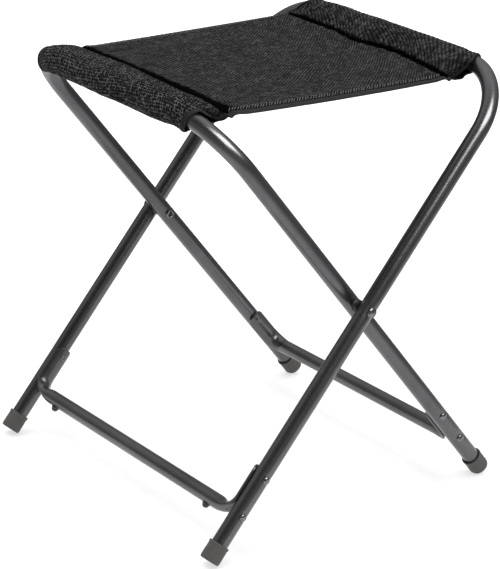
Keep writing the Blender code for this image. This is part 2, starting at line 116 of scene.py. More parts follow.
def quads(nu, nv, wrap_v=False, base=0, flip=False, wrap_u=False):
    iu = np.arange(nu if wrap_u else nu - 1)
    iv = np.arange(nv if wrap_v else nv - 1)
    u, v = np.meshgrid(iu, iv, indexing="ij")
    u2, v2 = (u + 1) % nu, (v + 1) % nv
    q = np.stack([u * nv + v, u * nv + v2, u2 * nv + v2, u2 * nv + v], -1).reshape(-1, 4)
    if flip:
        q = q[:, ::-1]
    return (q + base).tolist()


def signed_volume(verts, faces):
    v = np.asarray(verts, float)
    tri = []
    for f in faces:
        for k in range(1, len(f) - 1):
            tri.append((f[0], f[k], f[k + 1]))
    t = np.asarray(tri)
    a, b, c = v[t[:, 0]], v[t[:, 1]], v[t[:, 2]]
    return float((a * np.cross(b, c)).sum() / 6)


def facing_out(verts, faces):
    if signed_volume(verts, faces) < 0:
        faces = [tuple(reversed(f)) for f in faces]
    return faces


def hollow(outer, inner):
    """Verts and faces of a thick-walled tube from two ring grids."""
    nu, nv = outer.shape[:2]
    n = nu * nv
    verts = np.concatenate([outer.reshape(-1, 3), inner.reshape(-1, 3)])
    faces = quads(nu, nv, True) + quads(nu, nv, True, base=n, flip=True)
    for row, fl in ((0, True), (nu - 1, False)):
        for i in range(nv):
            j = (i + 1) % nv
            q = (row * nv + i, row * nv + j, n + row * nv + j, n + row * nv + i)
            faces.append(tuple(reversed(q)) if fl else q)
    return verts, facing_out(verts, faces)


def capped(rings):
    """Verts and faces of a solid through a grid of rings, ends closed."""
    nu, nv = rings.shape[:2]
    verts = rings.reshape(-1, 3)
    a, b = rings[0].mean(0), rings[-1].mean(0)
    verts = np.concatenate([verts, [a, b]])
    n = nu * nv
    faces = quads(nu, nv, True)
    for i in range(nv):
        j = (i + 1) % nv
        faces.append((j, i, n))
        faces.append(((nu - 1) * nv + i, (nu - 1) * nv + j, n + 1))
    return verts, facing_out(verts, faces)


def join_parts(parts):
    verts, faces, base = [], [], 0
    for v, f in parts:
        verts.append(np.asarray(v, float))
        faces += [tuple(i + base for i in q) for q in f]
        base += len(v)
    return np.concatenate(verts), faces


def auto_smooth(ob, angle=38.0):
    ob.data.set_sharp_from_angle(angle=radians(angle))
    return ob


def sstep(t):
    t = np.clip(t, 0.0, 1.0)
    return t * t * (3 - 2 * t)


def lathe(profile, matrix, steps=40):
    """Turned solid; profile (radius, height) from axis to axis."""
    pts = []
    for r, h in profile:
        if r < 1e-7:
            pts.append([(0.0, 0.0, h)])
        else:
            pts.append([(r * cos(2 * pi * k / steps), r * sin(2 * pi * k / steps), h)
                        for k in range(steps)])
    verts, start = [], []
    for ring in pts:
        start.append(len(verts))
        verts += ring
    faces = []
    for i in range(len(pts) - 1):
        a, b = pts[i], pts[i + 1]
        sa, sb = start[i], start[i + 1]
        for k in range(steps):
            j = (k + 1) % steps
            if len(a) == 1 and len(b) == 1:
                continue
            if len(a) == 1:
                faces.append((sa, sb + k, sb + j))
            elif len(b) == 1:
                faces.append((sa + k, sb, sa + j))
            else:
                faces.append((sa + k, sb + k, sb + j, sa + j))
    v = np.array([list(matrix @ Vector(p)) for p in verts])
    return v, facing_out(v, faces)


def rounded(points, radius, n=4):
    """Round the corners of an open profile of (r, h) points."""
    out = [points[0]]
    for a, b, c in zip(points, points[1:], points[2:]):
        a_, b_, c_ = np.array(a), np.array(b), np.array(c)
        la, lc = np.linalg.norm(a_ - b_), np.linalg.norm(c_ - b_)
        r = min(radius, 0.45 * la, 0.45 * lc)
        p, q = b_ + (a_ - b_) / max(la, 1e-9) * r, b_ + (c_ - b_) / max(lc, 1e-9) * r
        for k in range(n + 1):
            t = k / n
            out.append(tuple((1 - t) ** 2 * p + 2 * t * (1 - t) * b_ + t * t * q))
    out.append(points[-1])
    return out


def z_frame(origin, z_dir, x_hint=Vector((1, 0, 0))):
    z = Vector(z_dir).normalized()
    x = (x_hint - z * x_hint.dot(z)).normalized()
    y = z.cross(x)
    m = Matrix((x, y, z)).transposed().to_4x4()
    m.translation = origin
    return m


def leg_point(side, s, y, off=0.0):
    return Vector((side * (ST * s + CT * off), y, PIVOT_Z + CT * s - ST * off))


def down_dir(side):
    return Vector((-side * ST, 0.0, -CT))


# ------------------------------------------------------------- materials
def tree(name):
    m = bpy.data.materials.new(name)
    m.use_nodes = True
    nt = m.node_tree
    b = nt.nodes["Principled BSDF"] if "Principled BSDF" in nt.nodes else None
    if b is None:
        b = nt.nodes.new("ShaderNodeBsdfPrincipled")
        out = nt.nodes.new("ShaderNodeOutputMaterial")
        nt.links.new(b.outputs[0], out.inputs[0])
    return m, nt, b


class N:
    """Short spellings for building node trees."""

    def __init__(self, nt):
        self.nt = nt

    def node(self, kind, **props):
        n = self.nt.nodes.new(kind)
        for k, v in props.items():
            setattr(n, k, v)
        return n

    def put(self, sock, val):
        if hasattr(val, "links") or isinstance(val, bpy.types.NodeSocket):
            self.nt.links.new(val, sock)
        else:
            sock.default_value = val

    def math(self, op, a, b=0.0, c=None, clamp=False):
        n = self.node("ShaderNodeMath", operation=op, use_clamp=clamp)
        self.put(n.inputs[0], a)
        self.put(n.inputs[1], b)
        if c is not None:
            self.put(n.inputs[2], c)
        return n.outputs[0]

    def noise(self, vec, scale, detail=2.0, rough=0.5, dim="3D"):
        n = self.node("ShaderNodeTexNoise", noise_dimensions=dim)
        self.put(n.inputs["Vector"], vec)
        n.inputs["Scale"].default_value = scale
        n.inputs["Detail"].default_value = detail
        n.inputs["Roughness"].default_value = rough
        return n.outputs[0]

    def ramp(self, fac, stops, interp="LINEAR"):
        n = self.node("ShaderNodeValToRGB")
        self.put(n.inputs[0], fac)
        cr = n.color_ramp
        cr.interpolation = interp
        while len(cr.elements) < len(stops):
            cr.elements.new(0.5)
        for e, (p, c) in zip(cr.elements, stops):
            e.position = p
            e.color = (*c, 1.0) if len(c) == 3 else c
        return n.outputs[0]

    def remap(self, val, a, b, c, d, clamp=True):
        n = self.node("ShaderNodeMapRange", clamp=clamp)
        self.put(n.inputs[0], val)
        for i, x in zip((1, 2, 3, 4), (a, b, c, d)):
            n.inputs[i].default_value = x
        return n.outputs[0]

    def mix(self, fac, a, b):
        n = self.node("ShaderNodeMix", data_type="RGBA")
        self.put(n.inputs["Factor"], fac)
        self.put(n.inputs[6], a)
        self.put(n.inputs[7], b)
        return n.outputs[2]

    def bump(self, height, strength, distance, normal=None):
        n = self.node("ShaderNodeBump")
        n.inputs["Strength"].default_value = strength
        n.inputs["Distance"].default_value = distance
        self.put(n.inputs["Height"], height)
        if normal is not None:
            self.put(n.inputs["Normal"], normal)
        return n.outputs[0]

    def obj(self):
        return self.node("ShaderNodeTexCoord").outputs["Object"]

    def attr(self, name):
        return self.node("ShaderNodeAttribute", attribute_name=name).outputs["Vector"]

    def sep(self, vec):
        n = self.node("ShaderNodeSeparateXYZ")
        self.put(n.inputs[0], vec)
        return n.outputs


def paint(name, dark, light, metal, rough, speck=0.5):
    """Semi-gloss gunmetal powder coat: fine speckle, orange peel, faint scuffs."""
    m, nt, b = tree(name)
    g = N(nt)
    o = g.obj()
    fine = g.noise(o, 1500.0, 2.0, 0.6)
    mid = g.noise(o, 170.0, 3.0, 0.55)
    wide = g.noise(o, 16.0, 3.0, 0.5)
    scuff = g.noise(o, 48.0, 3.0, 0.60)
    tone = g.math("ADD", g.math("MULTIPLY", fine, speck), g.math("MULTIPLY", wide, 1 - speck))
    col = g.ramp(tone, [(0.30, dark), (0.72, light)])
    worn = g.remap(scuff, 0.66, 0.74, 0.0, 1.0)
    col = g.mix(g.math("MULTIPLY", worn, 0.14), col, (light[0] * 1.7, light[1] * 1.7, light[2] * 1.7, 1))
    g.put(b.inputs["Base Color"], col)
    b.inputs["Metallic"].default_value = metal
    r = g.math("ADD", g.math("MULTIPLY", mid, 0.05), rough - 0.025)
    r = g.math("ADD", r, g.math("MULTIPLY", worn, 0.04))
    r = g.math("ADD", r, g.math("MULTIPLY", fine, 0.02), clamp=True)
    g.put(b.inputs["Roughness"], r)
    h = g.math("ADD", g.math("MULTIPLY", mid, 0.9), g.math("MULTIPLY", fine, 0.1))
    g.put(b.inputs["Normal"], g.bump(h, 0.06, 0.00003))
    b.inputs["Coat Weight"].default_value = 0.12
    b.inputs["Coat Roughness"].default_value = 0.14
    return m


FRAME_M = paint("frame_paint", (0.088, 0.088, 0.091), (0.128, 0.128, 0.132), 0.86, 0.25, speck=0.10)
BRACE_M = paint("brace_paint", (0.082, 0.082, 0.084), (0.122, 0.122, 0.124), 0.84, 0.29, speck=0.14)


def rubber(name):
    m, nt, b = tree(name)
    g = N(nt)
    o = g.obj()
    n1 = g.noise(o, 700.0, 4.0, 0.65)
    n2 = g.noise(o, 60.0, 3.0, 0.6)
    t = g.math("ADD", g.math("MULTIPLY", n1, 0.6), g.math("MULTIPLY", n2, 0.4))
    z = g.sep(o)[2]
    dust = g.remap(z, 0.001, 0.010, 1.0, 0.0)
    dust = g.math("MULTIPLY", dust, g.remap(n2, 0.40, 0.62, 0.0, 1.0))
    col = g.ramp(t, [(0.30, (0.052, 0.050, 0.048)), (0.70, (0.088, 0.084, 0.080))])
    col = g.mix(g.math("MULTIPLY", dust, 0.45), col, (0.13, 0.12, 0.11, 1))
    g.put(b.inputs["Base Color"], col)
    g.put(b.inputs["Roughness"], g.remap(n2, 0.3, 0.7, 0.55, 0.78))
    g.put(b.inputs["Normal"], g.bump(t, 0.30, 0.00025))
    b.inputs["Specular IOR Level"].default_value = 0.45
    return m


RUBBER_M = rubber("foot_rubber")


def steel(name):
    m, nt, b = tree(name)
    g = N(nt)
    o = g.obj()
    n1 = g.noise(o, 900.0, 3.0, 0.6)
    n2 = g.noise(o, 160.0, 4.0, 0.6)
    col = g.ramp(n2, [(0.34, (0.11, 0.11, 0.115)), (0.66, (0.24, 0.24, 0.245))])
    g.put(b.inputs["Base Color"], col)
    b.inputs["Metallic"].default_value = 0.95
    g.put(b.inputs["Roughness"], g.remap(n1, 0.3, 0.7, 0.16, 0.30))
    g.put(b.inputs["Normal"], g.bump(n2, 0.25, 0.00010))
    return m


STEEL_M = steel("rivet_steel")


def plastic(name, a, c, r0, r1):
    m, nt, b = tree(name)
    g = N(nt)
    o = g.obj()
    n1 = g.noise(o, 800.0, 3.0, 0.6)
    n2 = g.noise(o, 90.0, 3.0, 0.6)
    g.put(b.inputs["Base Color"], g.ramp(n2, [(0.35, a), (0.66, c)]))
    g.put(b.inputs["Roughness"], g.remap(n1, 0.3, 0.7, r0, r1))
    g.put(b.inputs["Normal"], g.bump(n1, 0.20, 0.00012))
    return m


SPACER_M = plastic("spacer_plastic", (0.010, 0.010, 0.010), (0.020, 0.020, 0.021), 0.42, 0.58)
BUTTON_M = plastic("button_plastic", (0.010, 0.010, 0.010), (0.022, 0.022, 0.022), 0.30, 0.44)


RIB_ANGLE, RIB_SEAT = radians(38.0), 3.2
KNIT = {-1: (3.5, radians(97.0)), 1: (4.5, radians(50.0))}      # row pitch mm, direction


def mesh_cloth(name, pitch, angle, loop_pitch, yarn, glint_colour, gap, glint_amount, stray, hole, line, rough=0.86, deep=0.0010):
    """Black spacer-mesh cloth.  Attribute 'cloth' holds (across, along, shade) with
    lengths in millimetres; shade is painted shade that darkens the colour.  Rows of
    small loops run on the diagonal, each loop round a dark hole, and single loops
    carry painted glints in the base colour."""
    m, nt, b = tree(name)
    g = N(nt)
    s = g.sep(g.attr("cloth"))
    ca, sa = cos(angle), sin(angle)
    u = g.math("ADD", g.math("MULTIPLY", s[0], ca / loop_pitch), g.math("MULTIPLY", s[1], sa / loop_pitch))
    w = g.math("SUBTRACT", g.math("MULTIPLY", s[1], ca / pitch), g.math("MULTIPLY", s[0], sa / pitch))
    # holes of neighbouring rows are offset by half a loop
    pack = g.node("ShaderNodeCombineXYZ")
    g.put(pack.inputs[0], g.math("ADD", u, g.math("MULTIPLY", w, 0.5)))
    g.put(pack.inputs[1], w)
    cell = g.node("ShaderNodeTexVoronoi", voronoi_dimensions="2D")
    g.put(cell.inputs["Vector"], pack.outputs[0])
    cell.inputs["Scale"].default_value = 1.0
    cell.inputs["Randomness"].default_value = stray
    tint = g.sep(cell.outputs["Color"])
    ring = g.remap(cell.outputs["Distance"], hole * 0.70, hole * 1.20, 0.0, 1.0)
    rib = g.math("MULTIPLY_ADD", g.math("COSINE", g.math("MULTIPLY", w, 2 * pi)), 0.5, 0.5)
    rib = g.math("POWER", rib, 1.7)
    h = g.math("ADD", g.math("MULTIPLY", ring, 1.0 - line), g.math("MULTIPLY", rib, line))
    grain = g.node("ShaderNodeTexNoise", noise_dimensions="2D")
    g.put(grain.inputs["Vector"], g.attr("cloth"))
    grain.inputs["Scale"].default_value = 0.75
    grain.inputs["Detail"].default_value = 3.0
    grain.inputs["Roughness"].default_value = 0.7
    gr = grain.outputs[0]
    big = g.node("ShaderNodeTexNoise", noise_dimensions="2D")
    g.put(big.inputs["Vector"], g.attr("cloth"))
    big.inputs["Scale"].default_value = 0.045
    big.inputs["Detail"].default_value = 3.0
    gain = g.math("MULTIPLY", g.remap(gr, 0.30, 0.70, 0.70, 1.30), g.remap(tint[1], 0.0, 1.0, 0.70, 1.30))
    gain = g.math("MULTIPLY", gain, g.remap(big.outputs[0], 0.35, 0.65, 0.80, 1.15))
    tone = g.math("MULTIPLY", h, gain)
    body = g.ramp(g.math("MULTIPLY", tone, 0.55), [(0.03, gap), (0.50, yarn), (1.0, [v * 2.2 for v in yarn])])
    # painted glints: a share of single loops gets a light colour that stands for the light they catch
    glint_pick = g.remap(tint[0], 1.0 - glint_amount, 1.0 - glint_amount * 0.4, 0.0, 1.0)
    painted_glint = g.math("MULTIPLY", g.math("MULTIPLY", glint_pick, h), g.remap(gr, 0.36, 0.60, 0.1, 0.9), clamp=True)
    col = g.mix(painted_glint, body, (*glint_colour, 1))
    # painted shade: the third value of 'cloth' darkens the colour towards black and also lowers specular and sheen
    col = g.mix(s[2], (0.0010, 0.0010, 0.0010, 1), col)
    g.put(b.inputs["Base Color"], col)
    g.put(b.inputs["Roughness"], g.remap(gr, 0.3, 0.7, rough - 0.10, rough + 0.06))
    shine = g.math("MULTIPLY", s[2], g.remap(tone, 0.1, 1.2, 0.05, 1.0))
    g.put(b.inputs["Specular IOR Level"], g.math("MULTIPLY", shine, 0.22))
    g.put(b.inputs["Sheen Weight"], g.math("MULTIPLY", shine, 0.06))
    b.inputs["Sheen Roughness"].default_value = 0.45
    hb = g.math("ADD", h, g.math("MULTIPLY", gr, 0.35))
    g.put(b.inputs["Normal"], g.bump(hb, 0.80, deep))
    return m


SLEEVE_M = {
    -1: mesh_cloth("sleeve_knit_left", KNIT[-1][0], KNIT[-1][1], 2.8, (0.0265, 0.0265, 0.0271),
                   (0.135, 0.135, 0.138), (0.0005, 0.0005, 0.0005), 0.42, 0.50, 0.42, 0.14),
    1: mesh_cloth("sleeve_knit_right", KNIT[1][0], KNIT[1][1], 2.6, (0.0120, 0.0120, 0.0124),
                  (0.115, 0.115, 0.118), (0.0008, 0.0008, 0.0008), 0.38, 0.30, 0.36, 0.62)}
SEAT_M = mesh_cloth("seat_mesh", RIB_SEAT, RIB_ANGLE, 2.5, (0.0138, 0.0138, 0.0143), (0.086, 0.086, 0.088),
                    (0.0030, 0.0030, 0.0030), 0.28, 0.60, 0.30, 0.60, deep=0.0007)


def tape(name):
    """Woven edging tape: fine ribs along its length."""
    m, nt, b = tree(name)
    g = N(nt)
    c = g.attr("cloth")
    s = g.sep(c)
    f1 = g.math("MULTIPLY_ADD", g.math("SINE", g.math("MULTIPLY", s[0], 2 * pi / 0.9)), 0.5, 0.5)
    f2 = g.math("MULTIPLY_ADD", g.math("SINE", g.math("MULTIPLY", s[1], 2 * pi / 0.75)), 0.5, 0.5)
    gr = g.node("ShaderNodeTexNoise", noise_dimensions="2D")
    g.put(gr.inputs["Vector"], c)
    gr.inputs["Scale"].default_value = 0.8
    gr.inputs["Detail"].default_value = 3.0
    h = g.math("ADD", g.math("MULTIPLY", g.math("MULTIPLY", f1, f2), 0.6), g.math("MULTIPLY", gr.outputs[0], 0.4))
    col = g.ramp(h, [(0.15, (0.0065, 0.0065, 0.007)), (0.75, (0.0165, 0.0165, 0.0172))])
    # painted shade: the third value of 'cloth' darkens the tape towards black
    g.put(b.inputs["Base Color"], g.mix(s[2], (0.001, 0.001, 0.001, 1), col))
    g.put(b.inputs["Roughness"], g.remap(gr.outputs[0], 0.3, 0.7, 0.60, 0.78))
    g.put(b.inputs["Specular IOR Level"], g.math("MULTIPLY", s[2], 0.20))
    g.put(b.inputs["Sheen Weight"], g.math("MULTIPLY", s[2], 0.03))
    b.inputs["Sheen Roughness"].default_value = 0.4
    g.put(b.inputs["Normal"], g.bump(h, 0.45, 0.00035))
    return m


TAPE_M = tape("hem_tape")


def thread(name):
    m, nt, b = tree(name)
    g = N(nt)
    o = g.obj()
    n1 = g.noise(o, 1400.0, 3.0, 0.7)
    n2 = g.noise(o, 210.0, 2.0, 0.5)
    g.put(b.inputs["Base Color"], g.ramp(n2, [(0.32, (0.040, 0.040, 0.041)), (0.70, (0.125, 0.125, 0.128))]))
    g.put(b.inputs["Roughness"], g.remap(n1, 0.3, 0.7, 0.50, 0.70))
    g.put(b.inputs["Normal"], g.bump(n1, 0.4, 0.00015))
    return m


THREAD_M = thread("stitch_thread")


def foam(name):
    m, nt, b = tree(name)
    g = N(nt)
    o = g.obj()
    v = g.node("ShaderNodeTexVoronoi")
    g.put(v.inputs["Vector"], o)
    v.inputs["Scale"].default_value = 900.0
    n2 = g.noise(o, 60.0, 3.0, 0.6)
    g.put(b.inputs["Base Color"], g.ramp(n2, [(0.3, (0.10, 0.10, 0.105)), (0.7, (0.17, 0.17, 0.175))]))
    g.put(b.inputs["Roughness"], g.remap(v.outputs["Distance"], 0.0, 0.6, 0.85, 0.98))
    g.put(b.inputs["Normal"], g.bump(v.outputs["Distance"], 0.6, 0.0005))
    return m


FOAM_M = foam("pad_foam")


# ------------------------------------------------------------- frame tubes
def dimple(du, dy_angle, depth, su, sa):
    return depth * np.exp(-(du / su) ** 2) * np.exp(-(dy_angle / sa) ** 2)


def tube_grid(side, half_y, r, rivets, sides=56):
    """Stations along the U-shaped centreline, closer together at the rivets and
    round the corners.  Returns ring grids outside and inside."""
    straight = np.unique(np.concatenate([
        np.linspace(-TUBE_FOOT, BAR_RISE - r, 64),
        -rivets[0] + np.linspace(-0.012, 0.012, 17),
        -rivets[1] + np.linspace(-0.012, 0.012, 17),
        np.linspace(-0.014, 0.014, 19)]).round(6))
    arcs = np.linspace(0, pi / 2, 29)[1:]
    bar = np.linspace(half_y - r, 0, 16)[1:]
    C, T, S = [], [], []
    up = -np.array(down_dir(side))
    for s in straight:
        C.append(leg_point(side, s, -half_y)), T.append(up), S.append(s)
    for b in arcs:
        s = BAR_RISE - r + r * sin(b)
        y = half_y - r + r * cos(b)
        C.append(leg_point(side, s, -y))
        T.append(up * cos(b) + np.array((0, 1, 0)) * sin(b)), S.append(9.0)
    for y in bar:
        C.append(leg_point(side, BAR_RISE, -y)), T.append(np.array((0.0, 1, 0))), S.append(9.0)
    n = len(C)
    for i in range(n - 2, -1, -1):
        c = C[i]
        C.append(Vector((c.x, -c.y, c.z)))
        t = T[i]
        T.append(np.array((-t[0], t[1], -t[2]))), S.append(S[i])
    C = np.array([list(c) for c in C])
    T = np.array(T, float)
    T /= np.linalg.norm(T, axis=1)[:, None]
    S = np.array(S)
    nrm = np.array((side * CT, 0.0, -ST))
    B = np.cross(T, nrm)
    phi = np.linspace(0, 2 * pi, sides, endpoint=False)
    dirs = B[:, None, :] * np.cos(phi)[None, :, None] + nrm[None, None, :] * np.sin(phi)[None, :, None]
    rad = np.full((len(C), sides), TUBE_R)
    # pressed-in seats round the rivets, on the leg's outer face and inner face
    away = np.sign(C[:, 1])[:, None] * dirs[:, :, 1]
    ang_out = np.arccos(np.clip(away, -1, 1))
    ang_in = np.arccos(np.clip(-away, -1, 1))
    for s0, d_out, d_in in ((-rivets[0], 0.0006, 0.0), (-rivets[1], 0.0006, 0.0), (0.0, 0.0007, 0.0004)):
        du = (S - s0)[:, None]
        on = (S < 8)[:, None]
        wide = 0.0062 if s0 != 0.0 else 0.0078
        rad = rad - on * dimple(du, ang_out, d_out, wide, wide / TUBE_R)
        rad = rad - on * dimple(du, ang_in, d_in, wide, wide / TUBE_R)
    out = C[:, None, :] + dirs * rad[:, :, None]
    inn = C[:, None, :] + dirs * (rad - TUBE_WALL)[:, :, None]
    return out, inn


def make_tube(name, side, half_y, r, body):
    out, inn = tube_grid(side, half_y, r, RIVETS["outer" if side > 0 else "inner"])
    v, f = hollow(out, inn)
    ob = auto_smooth(flat(name, v, f, FRAME_M), 40)
    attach(ob, body)
    return ob


tube_b = make_tube("outer_tube_frame", +1, OUTER_Y, OUTER_BEND_R, "outer_frame")
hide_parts("outer_frame_tube")
tube_a = make_tube("inner_tube_frame", -1, INNER_Y, INNER_BEND_R, "inner_frame")
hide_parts("inner_frame_tube")


# ------------------------------------------------------------- braces
def make_brace(name, side, half_y, body, node):
    down = np.array(down_dir(side))
    nrm = np.array((side * CT, 0.0, -ST))
    r_in = TUBE_R + GAP
    r_out = r_in + TAB_THICK
    mid = (r_in + r_out) / 2
    y_tab = half_y - mid
    sides = 64
    st = []
    L0 = TAB_BEND - TAB_TOP
    for u in (0.0, 0.0004, 0.0011, 0.0020, 0.0033, 0.0048, 0.0065, 0.0085, 0.011, 0.014,
              0.018, 0.022, 0.026, 0.030, 0.034, L0):
        st.append((TAB_TOP + u, y_tab, 0.0, u))
    turns = 22
    for k in range(1, turns + 1):
        b = k * pi / 2 / turns
        st.append((TAB_BEND + BRACE_BEND_R * sin(b), y_tab - BRACE_BEND_R * (1 - cos(b)), b,
                   L0 + BRACE_BEND_R * b))
    y_end = y_tab - BRACE_BEND_R
    for d in (0.002, 0.004, 0.007, 0.010, 0.020, 0.040, 0.060, 0.080, 0.100, 0.120):
        if y_end - d > 0.004:
            st.append((BRACE_S, y_end - d, pi / 2, L0 + BRACE_BEND_R * pi / 2 + d))
    st.append((BRACE_S, 0.0, pi / 2, L0 + BRACE_BEND_R * pi / 2 + y_end))
    th = TAB_THICK / 2
    delta = 0.42

    def ring(station, sgn, shrink):
        s, y, b, u = station
        centre = np.array(leg_point(side, -s, sgn * y))
        e = np.array((0, sgn, 0)) * cos(b) + down * sin(b)
        grow = float(sstep((u - L0 - 0.003) / 0.030))
        wrap = TAB_WRAP * (1.0 if u >= 0.0100 else 0.20 + 0.80 * sqrt(1 - (1 - u / 0.0100) ** 2))
        half = th - shrink
        rr = BRACE_R - shrink
        w_flat = wrap - (shrink + half) / mid
        pts = []
        for i in range(sides):
            t = 2 * pi * i / sides
            ce, cn = rr * cos(t), rr * sin(t)
            q = t if t <= pi else t - 2 * pi
            sg = 1.0 if q > 0 else -1.0
            aq = abs(q)
            if aq < pi / 2 - delta:                       # face on the leg
                w = w_flat * aq / (pi / 2 - delta)
                rad = mid - half
                dw = 0.0
            elif aq <= pi / 2 + delta:                    # rounded edge
                k = (aq - (pi / 2 - delta)) / (2 * delta)  # 0..1
                a2 = -pi / 2 + pi * k
                w = w_flat + half * cos(a2) / mid
                rad = mid + half * sin(a2)
            else:                                         # face away from the leg
                w = w_flat * (pi - aq) / (pi / 2 - delta)
                rad = mid + half
            w *= sg
            te, tn = mid - rad * cos(w), rad * sin(w)
            ee = te + (ce - te) * grow
            nn = tn + (cn - tn) * grow
            pts.append(centre + e * ee + nrm * nn)
        return pts

    def whole(shrink):
        a = [ring(x, -1, shrink) for x in st]
        b = [ring(x, +1, shrink) for x in reversed(st[:-1])]
        return np.array(a + b)

    v, f = hollow(whole(0.0), whole(0.0011))
    ob = auto_smooth(flat(name, v, f, BRACE_M), 42)
    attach(ob, body)
    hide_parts(node)
    return ob


brace_b = make_brace("outer_brace_tube", +1, OUTER_Y, "outer_frame", "outer_brace")
brace_a = make_brace("inner_brace_tube", -1, INNER_Y, "inner_frame", "inner_brace")


def surface_hit(ob, origin, direction):
    bm_v = [v.co.copy() for v in ob.data.vertices]
    tree_ = BVHTree.FromPolygons(bm_v, [tuple(p.vertices) for p in ob.data.polygons])
    hit = tree_.ray_cast(Vector(origin), Vector(direction))
    return hit


# ------------------------------------------------------------- rivets
def dome(r, h, n=9, rim=0.12):
    pts = [(0.0, h)]
    for k in range(1, n + 1):
        a = k * (pi / 2) / (n + 1)
        pts.append((r * sin(a), h * (cos(a) * (1 - rim) + rim)))
    pts += [(r, h * rim), (r * 0.985, h * rim * 0.4), (r * 0.94, 0.0)]
    return pts


HITS = {}
for key, ob in (("outer", brace_b), ("inner", brace_a)):
    HITS[key] = BVHTree.FromPolygons([v.co.copy() for v in ob.data.vertices],
                                     [tuple(p.vertices) for p in ob.data.polygons])


def make_rivet(key, side, half_y, sgn, where, level, s, body):
    sink = 0.00055
    top = half_y + TUBE_R - sink
    origin = leg_point(side, -s, sgn * top)
    out = Vector((0, sgn, 0))
    parts = []
    head = dome(RIVET_HEAD_R, RIVET_HEAD_H + 0.0006)
    length = 0.0150
    prof = head + [(0.0021, -0.0002), (0.0021, -length), (0.0, -length)]
    parts.append(lathe(prof, z_frame(origin, out), 36))
    # rolled tail on the brace's inner face
    start = leg_point(side, -s, sgn * (half_y - 0.060))
    hit = HITS[key].ray_cast(start, out)
    if hit[0] is not None:
        n = hit[1].normalized()
        if n.dot(out) > 0:
            n = -n
        face = n if n.dot(-out) > 0.8 else (n * 0.5 - out * 0.5).normalized()
        base = hit[0] - face * 0.0007
        ring = [(0.0, 0.0006), (0.0010, 0.0007), (0.0014, 0.0012), (0.0018, 0.0018),
                (0.0023, 0.0020), (0.0028, 0.0018), (0.0032, 0.0012), (0.0033, 0.0006),
                (0.0033, 0.0), (0.0, -0.0004)]
        if level == "lower":
            ring = dome(0.0029, 0.0022, 7)
            ring = ring + [(0.0, -0.0005)]
        parts.append(lathe(ring, z_frame(base, face), 32))
    v, f = join_parts(parts)
    node = "%s_brace_rivet_%s_%s" % (key, where, level)
    ob = auto_smooth(flat("rivet_%s_%s_%s" % (key, where, level), v, f, STEEL_M), 46)
    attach(ob, body)
    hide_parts(node)
    return ob


for key, side, half_y, body in (("outer", +1, OUTER_Y, "outer_frame"), ("inner", -1, INNER_Y, "inner_frame")):
    for where, sgn in (("near", -1), ("far", +1)):
        for level, s in zip(("upper", "lower"), RIVETS[key]):
            make_rivet(key, side, half_y, sgn, where, level, s, body)

for where, sgn in (("near", -1), ("far", +1)):
    out = Vector((0, sgn, 0))
    top = OUTER_Y + TUBE_R - 0.0006
    tail = INNER_Y - TUBE_R - 0.0002
    ln = top - tail
    prof = dome(PIVOT_HEAD_R, PIVOT_HEAD_H + 0.0007, 11)
    prof += [(PIVOT_R, -0.0002), (PIVOT_R, -ln + 0.0002), (0.0048, -ln), (0.0050, -ln - 0.0008),
             (0.0046, -ln - 0.0016), (0.0038, -ln - 0.0019), (0.0028, -ln - 0.0016),
             (0.0021, -ln - 0.0006), (0.0018, -ln + 0.0008), (0.0, -ln + 0.0009)]
    v, f = lathe(prof, z_frame(Vector((0, sgn * top, PIVOT_Z)), out), 44)
    ob = auto_smooth(flat("pivot_pin_" + where, v, f, STEEL_M), 46)
    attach(ob, "outer_frame")
    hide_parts("pivot_rivet_" + where)
    # spacer ring, waisted, that keeps the two legs apart
    a = INNER_Y + TUBE_R + 0.0001
    b = OUTER_Y - TUBE_R - 0.0001
    w = b - a
    outer_p = rounded([(SPACER_R - 0.0003, 0.0), (SPACER_R + 0.0006, 0.0), (SPACER_R + 0.0006, w * 0.22),
                       (SPACER_R - 0.0006, w * 0.34), (SPACER_R - 0.0006, w * 0.66),
                       (SPACER_R + 0.0006, w * 0.78), (SPACER_R + 0.0006, w), (SPACER_R - 0.0003, w)], 0.0005, 3)
    steps = 44
    grid = []
    loop_p = outer_p + [(PIVOT_R + GAP, w), (PIVOT_R + GAP, 0.0)]
    m = z_frame(Vector((0, sgn * a, PIVOT_Z)), out)
    for k in range(steps):
        t = 2 * pi * k / steps
        grid.append([list(m @ Vector((r * cos(t), r * sin(t), h))) for r, h in loop_p])
    grid = np.array(grid)
    v = grid.reshape(-1, 3)
    f = facing_out(v, quads(steps, len(loop_p), True, wrap_u=True))
    ob = auto_smooth(flat("pivot_washer_" + where, v, f, SPACER_M), 40)
    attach(ob, "outer_frame")
    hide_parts("pivot_spacer_" + where)

# ------------------------------------------------------------- bump studs
for where, sgn in (("near", -1), ("far", +1)):
    d = down_dir(+1)
    base = leg_point(+1, -BRACE_S, sgn * BUTTON_Y)
    prof = [(0.0, 0.0043), (0.0012, 0.0042), (0.0023, 0.0037), (0.0031, 0.0029), (0.0036, 0.0019),
            (0.0038, 0.0009), (0.0044, 0.0005), (0.0046, 0.0), (0.0046, -0.0008), (0.0044, -0.0014),
            (0.0019, -0.0016), (0.0018, -0.0040), (0.0, -0.0042)]
    v, f = lathe(prof, z_frame(base + d * (BRACE_R + GAP), d, Vector((0, 1, 0))), 36)
    ob = auto_smooth(flat("bump_stud_" + where, v, f, BUTTON_M), 46)
    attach(ob, "outer_frame")
    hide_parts("brace_button_" + where)

